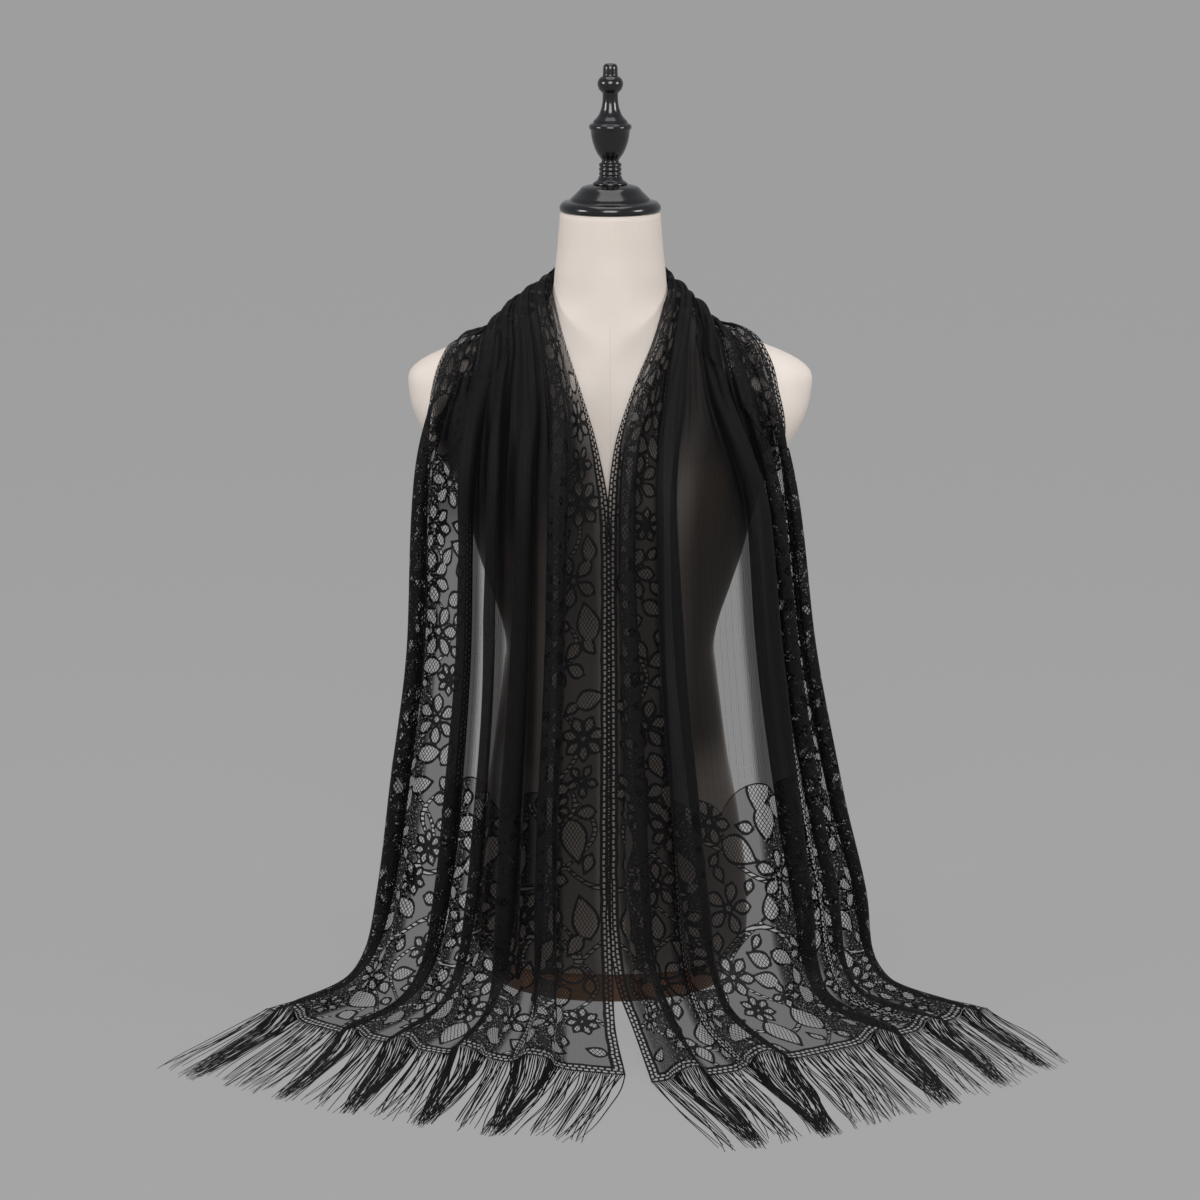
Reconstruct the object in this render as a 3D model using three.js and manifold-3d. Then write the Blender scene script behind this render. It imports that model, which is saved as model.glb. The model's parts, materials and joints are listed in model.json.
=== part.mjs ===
// A black lace shawl hung round the neck of a tabletop dress form. Both ends fall in front in deep folds, reach
// the table and spread there with their fringe. The form has a linen-covered torso, a turned neck cap with a
// finial, and a wooden base. Millimetres, +Z up. The origin is on the table under the form's axis, the front
// faces -Y and +X is the viewer's right.
import * as THREE from "three";
import { mergeVertices } from "three/addons/utils/BufferGeometryUtils.js";
import Module from "manifold-3d";

const wasm = await Module();
wasm.setup();

// Rows of plain numbers turned into rows with named columns
function tableOf(columns, rows) {
  return rows.map((row) => Object.fromEntries(columns.map((name, i) => [name, row[i]])));
}

// Cloth sizes
const SHAWL_WIDTH = 600;
const WALL = 1.3;
const SEAM_GAP = 0.6;
const CUT_GAP = 1.4;
const BODY_CLEARANCE = 3;
const LOW_FOLD_TURN = THREE.MathUtils.degToRad(84);
const MOST_TURN = THREE.MathUtils.degToRad(114);
const PATH_STEPS = 600;
const SHEET_STEPS = 16;
const STATION_NUDGE = 0.004;
const SHARE_NUDGE = 0.01;
const HEM_LIFT = 0.9;

// Fringe sizes
const STRANDS = 60;
const STRAND_RADIUS = 0.8;
const STRAND_SIDES = 3;
const STRAND_RINGS = 3;
const STRIP_WIDTH = 4;
const REST_HEIGHT = 1.4;
const CLUMPS = 9;
const CLUMP_PULL = 0.4;
const UNEVEN_LENGTH = 0.05;

// Form sizes
const BASE_HEIGHT = 30;
const BASE_HALF_WIDTH = 112;
const BASE_EDGE = 4;
const BASE_DEPTH_SHARE = 0.74;
const NECK_TOP = 759;
const TOUCH_GAP = 0.3;
const FORM_SIDES = 26;
const TURNED_SIDES = 18;

// Horizontal sections of the torso: height, half width, depth in front and behind, and squareness
const FORM_SECTIONS = tableOf(["at", "halfWidth", "front", "back", "square"], [
  [30.3, 126, 88, 96, 2.2],
  [41, 134, 94, 104, 2.2],
  [90, 135, 97, 107, 2.2],
  [136, 131, 96, 105, 2.2],
  [182, 124, 93, 100, 2.2],
  [229, 115, 89, 92, 2.2],
  [280, 108, 84, 80, 2.2],
  [319, 103, 81, 73, 2.2],
  [340, 101, 80, 70, 2.2],
  [367, 106, 84, 71, 2.2],
  [400, 117, 94, 76, 2.2],
  [434, 128, 108, 84, 2.2],
  [472, 138, 118, 92, 2.2],
  [505, 150, 115, 94, 2.25],
  [538, 172, 104, 91, 2.3],
  [566, 187, 93, 85, 2.3],
  [594, 193, 79, 77, 2.3],
  [608, 191, 71, 71, 2.3],
  [620, 176, 63, 64, 2.25],
  [632, 148, 57, 59, 2.2],
  [645, 108, 54, 56, 2.1],
  [660, 78, 52, 54, 2],
  [677, 58, 51, 53, 2],
  [705, 52.5, 50, 51, 2],
  [NECK_TOP, 47.5, 47, 47, 2],
]);

// Turned outlines of the neck cap and of the finial on it: radius and height above the neck's top
const CAP_OUTLINE = [
  { radius: 46, rise: 0 },
  { radius: 48, rise: 2.5 },
  { radius: 48, rise: 5.5 },
  { radius: 44.6, rise: 9.3 },
  { radius: 38, rise: 10.4 },
  { radius: 37.6, rise: 12.3 },
  { radius: 32.5, rise: 17 },
  { radius: 27.2, rise: 22.7 },
  { radius: 18.4, rise: 25.4 },
];
const FINIAL_OUTLINE = [
  { radius: 16.2, rise: 25.7 },
  { radius: 12.6, rise: 29 },
  { radius: 10.9, rise: 33.4 },
  { radius: 10.4, rise: 37.2 },
  { radius: 9.4, rise: 38 },
  { radius: 10.4, rise: 38.8 },
  { radius: 10.4, rise: 41.4 },
  { radius: 9.4, rise: 42.2 },
  { radius: 10.4, rise: 43 },
  { radius: 10.2, rise: 45.6 },
  { radius: 8.2, rise: 48.2 },
  { radius: 12.9, rise: 55.4 },
  { radius: 16.9, rise: 65.7 },
  { radius: 18.8, rise: 77 },
  { radius: 19.9, rise: 79.4 },
  { radius: 19.4, rise: 82 },
  { radius: 16, rise: 85 },
  { radius: 12.4, rise: 89 },
  { radius: 9.6, rise: 93 },
  { radius: 7.6, rise: 100.6 },
  { radius: 7.3, rise: 111 },
  { radius: 10.4, rise: 114.6 },
  { radius: 12.1, rise: 120 },
  { radius: 10.4, rise: 124.6 },
  { radius: 7, rise: 127 },
  { radius: 6.9, rise: 136.6 },
  { radius: 5, rise: 139 },
];

// Lines across the cloth from the middle of the nape (at 0) to the hem (at 1). The first nine sizes are the
// x, y and z of the inner edge (i), the middle (m) and the outer edge (o) of the smooth sheet that the folds
// stand on. "flats" says how far the flat stretches are drawn together there, and "stand" how much of the
// folds' full depth stands up.
const STATION_COLUMNS = ["at", "ix", "iy", "iz", "mx", "my", "mz", "ox", "oy", "oz", "flats", "stand"];
const LEFT_STATIONS = tableOf(STATION_COLUMNS, [
  [0, 0, 57, 699, 0, 68, 659, 0, 84, 608, 0.36, 0.2],
  [0.06, -45, 38, 700, -51, 58, 668, -58, 75, 614, 0.36, 0.2],
  [0.12, -55, -2, 692, -84, 23, 676, -110, 43, 633, 0.36, 0.2],
  [0.17, -50, -40, 670, -93, -13, 663, -131, 12, 632, 0.38, 0.24],
  [0.22, -42, -75, 645, -91, -53, 631, -150, -24, 613, 0.42, 0.34],
  [0.27, -31, -95, 601, -95, -87, 592, -168, -46, 590, 0.55, 0.5],
  [0.33, -17, -111, 551, -97, -107, 544, -176, -55, 543, 0.75, 0.66],
  [0.4, -6, -125, 489, -97, -118, 484, -178, -57, 480, 0.95, 0.8],
  [0.55, -5, -143, 352, -99, -126, 345, -182, -58, 340, 1, 0.9],
  [0.7, -5, -163, 215, -106, -134, 208, -199, -54, 203, 1, 0.95],
  [0.8, -5, -178, 123, -113, -141, 114, -214, -50, 108, 1, 0.9],
  [0.87, -2, -193, 62, -124, -150, 52, -234, -52, 44, 1, 0.7],
  [0.93, 5, -228, 24, -144, -177, 18, -266, -68, 11, 1, 0.5],
  [1, 14, -290, 0.65, -184, -217, 0.65, -330, -106, 0.65, 1, 0.34],
]);
const RIGHT_STATIONS = tableOf(STATION_COLUMNS, [
  [0, 0, 57, 699, 0, 68, 659, 0, 84, 608, 0.36, 0.2],
  [0.06, 45, 38, 700, 48, 58, 668, 52, 75, 615, 0.36, 0.2],
  [0.12, 54, -2, 692, 76, 23, 676, 90, 43, 633, 0.36, 0.2],
  [0.17, 48, -40, 670, 81, -14, 662, 104, 11, 633, 0.36, 0.24],
  [0.22, 38, -75, 645, 80, -54, 633, 132, -20, 617, 0.4, 0.34],
  [0.27, 25, -95, 601, 82, -88, 594, 150, -43, 590, 0.52, 0.5],
  [0.33, 10, -111, 551, 86, -108, 545, 162, -52, 543, 0.75, 0.66],
  [0.4, 2, -125, 489, 90, -119, 485, 171, -56, 480, 0.95, 0.8],
  [0.55, 1, -143, 352, 97, -127, 346, 187, -57, 342, 1, 0.9],
  [0.7, 2, -163, 215, 111, -135, 208, 214, -54, 203, 1, 0.95],
  [0.8, 4, -180, 123, 123, -143, 114, 240, -51, 108, 1, 0.9],
  [0.87, 9, -197, 62, 134, -153, 52, 254, -52, 42, 1, 0.7],
  [0.93, 21, -238, 24, 154, -182, 18, 284, -68, 10, 1, 0.5],
  [1, 37, -311, 0.65, 210, -224, 0.65, 362, -106, 0.65, 1, 0.34],
]);

// How far the fringe tips lie from the hem, sideways and forwards, from the inner edge (0) to the outer (1)
const LEFT_TIPS = [
  { at: 0, sideways: -38, forwards: 159 },
  { at: 0.5, sideways: -36, forwards: 168 },
  { at: 1, sideways: -86, forwards: 160 },
];
const RIGHT_TIPS = [
  { at: 0, sideways: 58, forwards: 162 },
  { at: 0.5, sideways: 44, forwards: 170 },
  { at: 1, sideways: 62, forwards: 140 },
];

// Standing folds across the cloth, from the inner edge: the middle of each, the cloth that it takes up, and
// its lean in degrees
const LEFT_FOLDS = [
  { middle: 100, cloth: 108, lean: 14 },
  { middle: 210, cloth: 104, lean: -10 },
  { middle: 323, cloth: 90, lean: 12 },
  { middle: 417, cloth: 74, lean: -8 },
  { middle: 545, cloth: 94, lean: 16 },
];
const RIGHT_FOLDS = [
  { middle: 58, cloth: 100, lean: -14 },
  { middle: 188, cloth: 128, lean: 12 },
  { middle: 372, cloth: 112, lean: -12 },
  { middle: 478, cloth: 80, lean: 14 },
  { middle: 559, cloth: 70, lean: 10 },
];
// Places of the mesh's points on a fold, from its start (-1) to its end (1), and the parts of each flat stretch
const FOLD_POINTS = [-1, -0.84, -0.6, -0.3, -0.1, 0.1, 0.3, 0.6, 0.84];
const FLAT_PARTS = [2, 1, 2, 1, 2, 1];

// Rows of the mesh along the shawl, as shares of the way from the middle of the nape to the hem
const ROWS = [
  0, 0.035, 0.07, 0.1, 0.13, 0.16, 0.19, 0.22, 0.25, 0.29, 0.34, 0.41, 0.5, 0.6, 0.7, 0.79, 0.85, 0.89,
  0.925, 0.96, 1,
];
const NAPE_REACH = 0.1;
const HALF_LENGTH = 925;

const LOOKS = {
  lace: new THREE.MeshStandardMaterial({ color: 0x100f12, roughness: 0.82, metalness: 0 }),
  thread: new THREE.MeshStandardMaterial({ color: 0x0d0c0f, roughness: 0.7, metalness: 0 }),
  linen: new THREE.MeshStandardMaterial({ color: 0xd9cdc0, roughness: 0.9, metalness: 0 }),
  lacquer: new THREE.MeshStandardMaterial({ color: 0x0b0b0d, roughness: 0.22, metalness: 0 }),
  wood: new THREE.MeshStandardMaterial({ color: 0x8a5a2c, roughness: 0.55, metalness: 0 }),
};

// Every column of a table at one place, on a smooth curve through the rows
function rowAt(table, place) {
  const last = table.length - 2;
  let i = table.findIndex((row) => row.at > place) - 1;
  if (i < 0) i = place <= table[0].at ? 0 : last;
  const rows = [table[Math.max(i - 1, 0)], table[i], table[i + 1], table[Math.min(i + 2, last + 1)]];
  const span = rows[2].at - rows[1].at;
  const u = (place - rows[1].at) / span;
  const row = { at: place };
  for (const key of Object.keys(rows[1])) {
    if (key === "at") continue;
    const slope = (a, b) => (b.at === a.at ? 0 : ((b[key] - a[key]) / (b.at - a.at)) * span);
    const start = slope(rows[0], rows[2]);
    const end = slope(rows[1], rows[3]);
    row[key] =
      (2 * u ** 3 - 3 * u ** 2 + 1) * rows[1][key] +
      (u ** 3 - 2 * u ** 2 + u) * start +
      (3 * u ** 2 - 2 * u ** 3) * rows[2][key] +
      (u ** 3 - u ** 2) * end;
  }
  return row;
}

// Above 0 outside the torso and below 0 inside it
function formLevel(point) {
  const row = rowAt(FORM_SECTIONS, THREE.MathUtils.clamp(point.z, BASE_HEIGHT, NECK_TOP));
  const depth = point.y < 0 ? row.front : row.back;
  const sum = (Math.abs(point.x) / row.halfWidth) ** row.square + (Math.abs(point.y) / depth) ** row.square;
  return sum ** (1 / row.square) - 1;
}

// Moves a point that is nearer to the torso than the clearance straight out to it
function clearOfForm(point, clearance) {
  const step = 0.5;
  const place = point.clone();
  for (let round = 0; round < 5; round += 1) {
    const level = formLevel(place);
    const slope = new THREE.Vector3();
    for (const axis of ["x", "y", "z"]) {
      const ahead = place.clone();
      const behind = place.clone();
      ahead[axis] += step;
      behind[axis] -= step;
      slope[axis] = (formLevel(ahead) - formLevel(behind)) / (2 * step);
    }
    const steepness = Math.max(slope.length(), 1e-4);
    const missing = clearance - level / steepness;
    if (missing <= 0) return place;
    place.addScaledVector(slope, missing / steepness);
  }
  return place;
}

// The smooth sheet under the folds: share 0 is the inner edge and 1 the outer edge
function sheetPoint(stations, share, place) {
  const row = rowAt(stations, place);
  const inner = new THREE.Vector3(row.ix, row.iy, row.iz);
  const middle = new THREE.Vector3(row.mx, row.my, row.mz);
  const outer = new THREE.Vector3(row.ox, row.oy, row.oz);
  const pull = middle.multiplyScalar(2).addScaledVector(inner, -0.5).addScaledVector(outer, -0.5);
  const point = inner
    .multiplyScalar((1 - share) ** 2)
    .addScaledVector(pull, 2 * share * (1 - share))
    .addScaledVector(outer, share ** 2);
  return clearOfForm(point, BODY_CLEARANCE);
}

function sheetWidth(stations, place) {
  let width = 0;
  let before = sheetPoint(stations, 0, place);
  for (let i = 1; i <= SHEET_STEPS; i += 1) {
    const next = sheetPoint(stations, i / SHEET_STEPS, place);
    width += next.distanceTo(before);
    before = next;
  }
  return width;
}

// The cloth's own path across one station, walked from the inner edge: across the sheet and out of it
function walkFolds(folds, turn, flats) {
  const step = SHAWL_WIDTH / PATH_STEPS;
  const across = [0];
  const out = [0];
  for (let i = 0; i < PATH_STEPS; i += 1) {
    const cloth = (i + 0.5) * step;
    let heading = 0;
    let rate = flats;
    for (const fold of folds) {
      const x = (cloth - fold.middle) / (fold.cloth / 2);
      if (Math.abs(x) >= 1) continue;
      const crest = Math.cos((Math.PI * x) / 2) ** 2;
      const lean = THREE.MathUtils.degToRad(fold.lean) * (turn / MOST_TURN) * crest;
      heading = lean - turn * Math.sin(Math.PI * x);
      rate = 1;
    }
    across.push(across[i] + Math.cos(heading) * rate * step);
    out.push(out[i] + Math.sin(heading) * step);
  }
  const drift = out[PATH_STEPS];
  return { across, out: out.map((value, i) => value - (drift * i) / PATH_STEPS) };
}

// Turns the folds until the walked path is as wide as the sheet is there; low folds don't lean over
function foldPath(folds, width, row) {
  const flats = row.flats;
  let low = 0;
  let high = THREE.MathUtils.lerp(LOW_FOLD_TURN, MOST_TURN, THREE.MathUtils.smoothstep(row.stand, 0.35, 0.8));
  for (let round = 0; round < 24; round += 1) {
    const turn = (low + high) / 2;
    if (walkFolds(folds, turn, flats).across[PATH_STEPS] > width) low = turn;
    else high = turn;
  }
  return walkFolds(folds, (low + high) / 2, flats);
}

// A value of a list at a place between two of its entries
function between(list, place) {
  const i = Math.min(Math.floor(place), list.length - 2);
  return THREE.MathUtils.lerp(list[i], list[i + 1], place - i);
}

// The points of the folded cloth on one line across it
function clothLine(stations, folds, columns, place) {
  const row = rowAt(stations, place);
  const path = foldPath(folds, sheetWidth(stations, place), row);
  const total = path.across[PATH_STEPS];
  const lowest = Math.min(...path.out);
  const before = Math.max(place - STATION_NUDGE, 0);
  const after = Math.min(place + STATION_NUDGE, 1);
  return columns.map((cloth) => {
    const steps = (cloth / SHAWL_WIDTH) * PATH_STEPS;
    const share = between(path.across, steps) / total;
    const out = between(path.out, steps) - lowest;
    const along = sheetPoint(stations, share, after).sub(sheetPoint(stations, share, before));
    const inward = sheetPoint(stations, share - SHARE_NUDGE, place);
    const across = sheetPoint(stations, share + SHARE_NUDGE, place).sub(inward);
    const normal = across.cross(along).normalize();
    if (stations === RIGHT_STATIONS) normal.negate();
    return sheetPoint(stations, share, place).addScaledVector(normal, out * row.stand);
  });
}

// Places across the cloth where the mesh has points: close in the folds, wide apart on the flat stretches
function columnsOf(folds) {
  const columns = [];
  let flatFrom = 0;
  const fillFlat = (to, parts) => {
    for (let i = 0; i < parts; i += 1) columns.push(flatFrom + ((to - flatFrom) * i) / parts);
  };
  folds.forEach((fold, i) => {
    fillFlat(fold.middle - fold.cloth / 2, FLAT_PARTS[i]);
    for (const place of FOLD_POINTS) columns.push(fold.middle + (place * fold.cloth) / 2);
    flatFrom = fold.middle + fold.cloth / 2;
  });
  fillFlat(SHAWL_WIDTH, FLAT_PARTS.at(-1));
  columns.push(SHAWL_WIDTH);
  return columns;
}

// A closed wall of even thickness round a stretch of rows in a grid of points. A stretch that ends inside the
// grid is drawn back by half the cut gap there.
function wallSolid(whole, thickness, from = 0, to = whole.length - 1) {
  const lastRow = whole.length - 1;
  const lastColumn = whole[0].length - 1;
  const downAt = (r, c) => whole[Math.min(r + 1, lastRow)][c].clone().sub(whole[Math.max(r - 1, 0)][c]);
  const normalAt = (r, c) => {
    const across = whole[r][Math.min(c + 1, lastColumn)].clone().sub(whole[r][Math.max(c - 1, 0)]);
    return downAt(r, c).cross(across).normalize();
  };
  const trimAt = (r) => {
    const trim = new THREE.Vector3();
    if (r !== from && r !== to) return trim;
    for (let c = 0; c <= lastColumn; c += 1) trim.add(downAt(r, c).normalize());
    let distance = 0;
    if (r === from && from > 0) distance = CUT_GAP / 2;
    if (r === to && to < lastRow) distance = -CUT_GAP / 2;
    return trim.normalize().multiplyScalar(distance);
  };
  const rows = to - from + 1;
  const columns = lastColumn + 1;
  const positions = [];
  for (const side of [1, -1]) {
    for (let r = from; r <= to; r += 1) {
      for (let c = 0; c < columns; c += 1) {
        const shift = normalAt(r, c).multiplyScalar((side * thickness) / 2);
        const point = whole[r][c].clone().add(shift).add(trimAt(r));
        point.z = Math.max(point.z, shift.z < 0 ? 0 : thickness * HEM_LIFT);
        positions.push(point.x, point.y, point.z);
      }
    }
  }
  const faces = [];
  const index = (r, c, back) => r * columns + c + (back ? rows * columns : 0);
  const quad = (a, b, c, d) => faces.push(a, b, c, a, c, d);
  for (let r = 0; r < rows - 1; r += 1) {
    for (let c = 0; c < columns - 1; c += 1) {
      quad(index(r, c), index(r + 1, c), index(r + 1, c + 1), index(r, c + 1));
      quad(index(r, c, true), index(r, c + 1, true), index(r + 1, c + 1, true), index(r + 1, c, true));
    }
    quad(index(r, 0), index(r, 0, true), index(r + 1, 0, true), index(r + 1, 0));
    const end = columns - 1;
    quad(index(r + 1, end), index(r + 1, end, true), index(r, end, true), index(r, end));
  }
  for (let c = 0; c < columns - 1; c += 1) {
    quad(index(0, c + 1), index(0, c + 1, true), index(0, c, true), index(0, c));
    const end = rows - 1;
    quad(index(end, c), index(end, c, true), index(end, c + 1, true), index(end, c + 1));
  }
  return outwardGeometry(positions, faces);
}

// Builds a geometry and turns its faces round if they point inwards
function outwardGeometry(positions, faces) {
  let volume = 0;
  const corner = (i) => new THREE.Vector3().fromArray(positions, faces[i] * 3);
  for (let i = 0; i < faces.length; i += 3) volume += corner(i).dot(corner(i + 1).cross(corner(i + 2)));
  const turned = volume < 0 ? faces.toReversed() : faces;
  const geometry = new THREE.BufferGeometry();
  geometry.setAttribute("position", new THREE.Float32BufferAttribute(positions, 3));
  geometry.setIndex(turned);
  return geometry;
}

// A closed body through rings of points, with flat or pointed ends
function ringSolid(rings) {
  const sides = rings[0].length;
  const positions = [];
  const faces = [];
  for (const ring of rings) for (const point of ring) positions.push(point.x, point.y, point.z);
  for (let r = 0; r < rings.length - 1; r += 1) {
    for (let s = 0; s < sides; s += 1) {
      const next = (s + 1) % sides;
      const [a, b, c, d] = [r * sides + s, r * sides + next, (r + 1) * sides + next, (r + 1) * sides + s];
      faces.push(a, b, c, a, c, d);
    }
  }
  const top = (rings.length - 1) * sides;
  for (let s = 1; s < sides - 1; s += 1) {
    faces.push(0, s + 1, s);
    faces.push(top, top + s, top + s + 1);
  }
  return outwardGeometry(positions, faces);
}

function toManifold(geometry) {
  const bare = geometry.clone();
  bare.deleteAttribute("normal");
  bare.deleteAttribute("uv");
  const merged = mergeVertices(bare, 1e-4);
  return new wasm.Manifold(
    new wasm.Mesh({
      numProp: 3,
      vertProperties: merged.attributes.position.array,
      triVerts: new Uint32Array(merged.index.array),
    }),
  );
}

function toGeometry(solid) {
  const mesh = solid.getMesh();
  const geometry = new THREE.BufferGeometry();
  geometry.setAttribute("position", new THREE.Float32BufferAttribute(mesh.vertProperties, 3));
  geometry.setIndex(Array.from(mesh.triVerts));
  return geometry;
}

function named(name, geometry, look) {
  const mesh = new THREE.Mesh(geometry, look);
  mesh.name = name;
  return mesh;
}

function formTorso() {
  const rings = FORM_SECTIONS.map((row) => {
    const ring = [];
    for (let s = 0; s < FORM_SIDES; s += 1) {
      const angle = (2 * Math.PI * s) / FORM_SIDES;
      const round = (value) => Math.sign(value) * Math.abs(value) ** (2 / row.square);
      const x = row.halfWidth * round(Math.cos(angle));
      const y = (Math.sin(angle) < 0 ? row.front : row.back) * round(Math.sin(angle));
      ring.push(new THREE.Vector3(x, y, row.at));
    }
    return ring;
  });
  return named("form_torso", ringSolid(rings), LOOKS.linen);
}

function turned(name, outline, look, sides) {
  const profile = [new THREE.Vector2(0, outline[0].rise)];
  for (const row of outline) profile.push(new THREE.Vector2(row.radius, row.rise));
  profile.push(new THREE.Vector2(0, outline.at(-1).rise));
  const mesh = named(name, new THREE.LatheGeometry(profile, sides), look);
  mesh.rotation.x = Math.PI / 2;
  return mesh;
}

function neckCap() {
  const cap = turned("neck_cap", CAP_OUTLINE, LOOKS.lacquer, TURNED_SIDES);
  cap.position.z = NECK_TOP + TOUCH_GAP;
  return cap;
}

function finial() {
  const post = turned("finial", FINIAL_OUTLINE, LOOKS.lacquer, TURNED_SIDES);
  post.position.z = NECK_TOP + TOUCH_GAP;
  return post;
}

function formBase() {
  const outline = [
    { radius: BASE_HALF_WIDTH, rise: 0 },
    { radius: BASE_HALF_WIDTH, rise: BASE_HEIGHT - BASE_EDGE },
    { radius: BASE_HALF_WIDTH - BASE_EDGE, rise: BASE_HEIGHT },
  ];
  const base = turned("form_base", outline, LOOKS.wood, FORM_SIDES);
  base.scale.z = BASE_DEPTH_SHARE;
  return base;
}

// The folds of one side turned into those of the other by a share
function blendFolds(share) {
  return LEFT_FOLDS.map((fold, i) => {
    const other = RIGHT_FOLDS[i];
    const mix = (key) => THREE.MathUtils.lerp(fold[key], other[key], share);
    return { middle: mix("middle"), cloth: mix("cloth"), lean: mix("lean") };
  });
}

// The whole shawl as one grid from the left hem to the right hem, cut into its stretches at two seams
function shawlStretches() {
  const line = (stations, side) => (place) => {
    const folds = blendFolds(0.5 + (side * Math.min(place / NAPE_REACH, 1)) / 2);
    return clothLine(stations, folds, columnsOf(folds), place);
  };
  const left = ROWS.slice(1).map(line(LEFT_STATIONS, -1)).reverse();
  const right = ROWS.map(line(RIGHT_STATIONS, 1));
  const grid = [...left, ...right];
  const middle = left.length;
  const nape = ROWS.indexOf(NAPE_REACH);
  const last = grid.length - 1;
  return [
    named("shawl_left_fall", wallSolid(grid, WALL, 0, middle - nape), LOOKS.lace),
    named("shawl_nape", wallSolid(grid, WALL, middle - nape, middle + nape), LOOKS.lace),
    named("shawl_right_fall", wallSolid(grid, WALL, middle + nape, last), LOOKS.lace),
  ];
}

// A line in step with the hem, a distance outside it
function besideHem(stations, folds, columns, distance) {
  const hem = clothLine(stations, folds, columns, 1);
  const inside = clothLine(stations, folds, columns, 1 - STRIP_WIDTH / HALF_LENGTH);
  return hem.map((point, i) => {
    const out = point.clone().sub(inside[i]).setZ(0).normalize();
    return point.clone().addScaledVector(out, distance);
  });
}

// One strand from its root in the strip to its tip just above the table
function strand(root, tip) {
  const rings = [];
  for (let r = 0; r < STRAND_RINGS; r += 1) {
    const share = r / (STRAND_RINGS - 1);
    const drop = Math.min(share * 2, 1);
    const centre = new THREE.Vector3(
      THREE.MathUtils.lerp(root.x, tip.x, share),
      THREE.MathUtils.lerp(root.y, tip.y, share),
      THREE.MathUtils.lerp(Math.max(root.z, REST_HEIGHT), REST_HEIGHT, drop),
    );
    const ring = [];
    for (let s = 0; s < STRAND_SIDES; s += 1) {
      const angle = (2 * Math.PI * s) / STRAND_SIDES + Math.PI / 2;
      const side = new THREE.Vector3(Math.cos(angle), 0, Math.sin(angle)).multiplyScalar(STRAND_RADIUS);
      ring.push(centre.clone().add(side));
    }
    rings.push(ring);
  }
  return ringSolid(rings);
}

// The strip along the hem with the strands that grow from it; tips draw together in loose bunches
function fringe(name, stations, folds, tips) {
  const columns = columnsOf(folds);
  const strip = [SEAM_GAP, SEAM_GAP + STRIP_WIDTH].map((gap) => besideHem(stations, folds, columns, gap));
  const path = foldPath(folds, sheetWidth(stations, 1), stations.at(-1));
  const total = path.across[PATH_STEPS];
  const places = [];
  for (let k = 0; k < STRANDS; k += 1) {
    const wanted = ((k + 0.5) / STRANDS) * total;
    places.push((path.across.findIndex((value) => value >= wanted) / PATH_STEPS) * SHAWL_WIDTH);
  }
  const roots = besideHem(stations, folds, places, SEAM_GAP + STRIP_WIDTH / 2);
  const perClump = STRANDS / CLUMPS;
  const tipAt = (k) => {
    const row = rowAt(tips, (k + 0.5) / STRANDS);
    const root = roots[THREE.MathUtils.clamp(Math.round(k), 0, STRANDS - 1)];
    return new THREE.Vector3(root.x + row.sideways, root.y - row.forwards, REST_HEIGHT);
  };
  const bodies = roots.map((root, k) => {
    const clump = (Math.floor(k / perClump) + 0.5) * perClump - 0.5;
    const tip = tipAt(k).lerp(tipAt(clump), CLUMP_PULL);
    const uneven = 1 - UNEVEN_LENGTH * (1 - Math.cos(k * 1.7 + clump));
    return toManifold(strand(root, root.clone().lerp(tip, uneven).setZ(REST_HEIGHT)));
  });
  const whole = wasm.Manifold.union([toManifold(wallSolid(strip, WALL)), ...bodies]);
  return named(name, toGeometry(whole), LOOKS.thread);
}

const group = new THREE.Group();
group.add(formTorso(), neckCap(), finial(), formBase());
group.add(...shawlStretches());
group.add(fringe("fringe_left", LEFT_STATIONS, LEFT_FOLDS, LEFT_TIPS));
group.add(fringe("fringe_right", RIGHT_STATIONS, RIGHT_FOLDS, RIGHT_TIPS));

export default group;
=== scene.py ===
# %% Load the frame
import json
import math
import bpy
import numpy as np
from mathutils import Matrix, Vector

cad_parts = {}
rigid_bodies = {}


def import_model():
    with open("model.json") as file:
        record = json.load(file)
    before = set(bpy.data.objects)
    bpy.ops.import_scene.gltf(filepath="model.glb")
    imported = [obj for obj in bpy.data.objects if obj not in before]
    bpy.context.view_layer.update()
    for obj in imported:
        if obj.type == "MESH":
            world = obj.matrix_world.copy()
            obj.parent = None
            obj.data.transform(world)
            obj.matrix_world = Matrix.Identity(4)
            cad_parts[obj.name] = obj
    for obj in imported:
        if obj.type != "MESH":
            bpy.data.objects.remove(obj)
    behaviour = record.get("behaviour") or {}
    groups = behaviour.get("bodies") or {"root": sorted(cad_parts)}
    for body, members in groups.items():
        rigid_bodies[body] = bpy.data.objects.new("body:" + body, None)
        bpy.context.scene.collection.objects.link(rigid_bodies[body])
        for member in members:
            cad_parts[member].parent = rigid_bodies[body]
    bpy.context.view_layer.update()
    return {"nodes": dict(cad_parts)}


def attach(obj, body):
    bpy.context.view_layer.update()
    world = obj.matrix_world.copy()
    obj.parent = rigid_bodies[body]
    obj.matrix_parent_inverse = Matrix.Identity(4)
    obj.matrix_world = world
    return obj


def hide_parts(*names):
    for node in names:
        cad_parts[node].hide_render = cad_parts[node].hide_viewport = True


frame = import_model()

print("nodes:", sorted(frame["nodes"]))


def placed(name, data):
    """A new object with this data, linked into the scene."""
    made = bpy.data.objects.new(name, data)
    bpy.context.scene.collection.objects.link(made)
    return made


def stand_in(piece, node):
    """Hides the solid that a piece replaces and hangs the piece on the root body."""
    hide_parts(node)
    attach(piece, "root")


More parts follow.
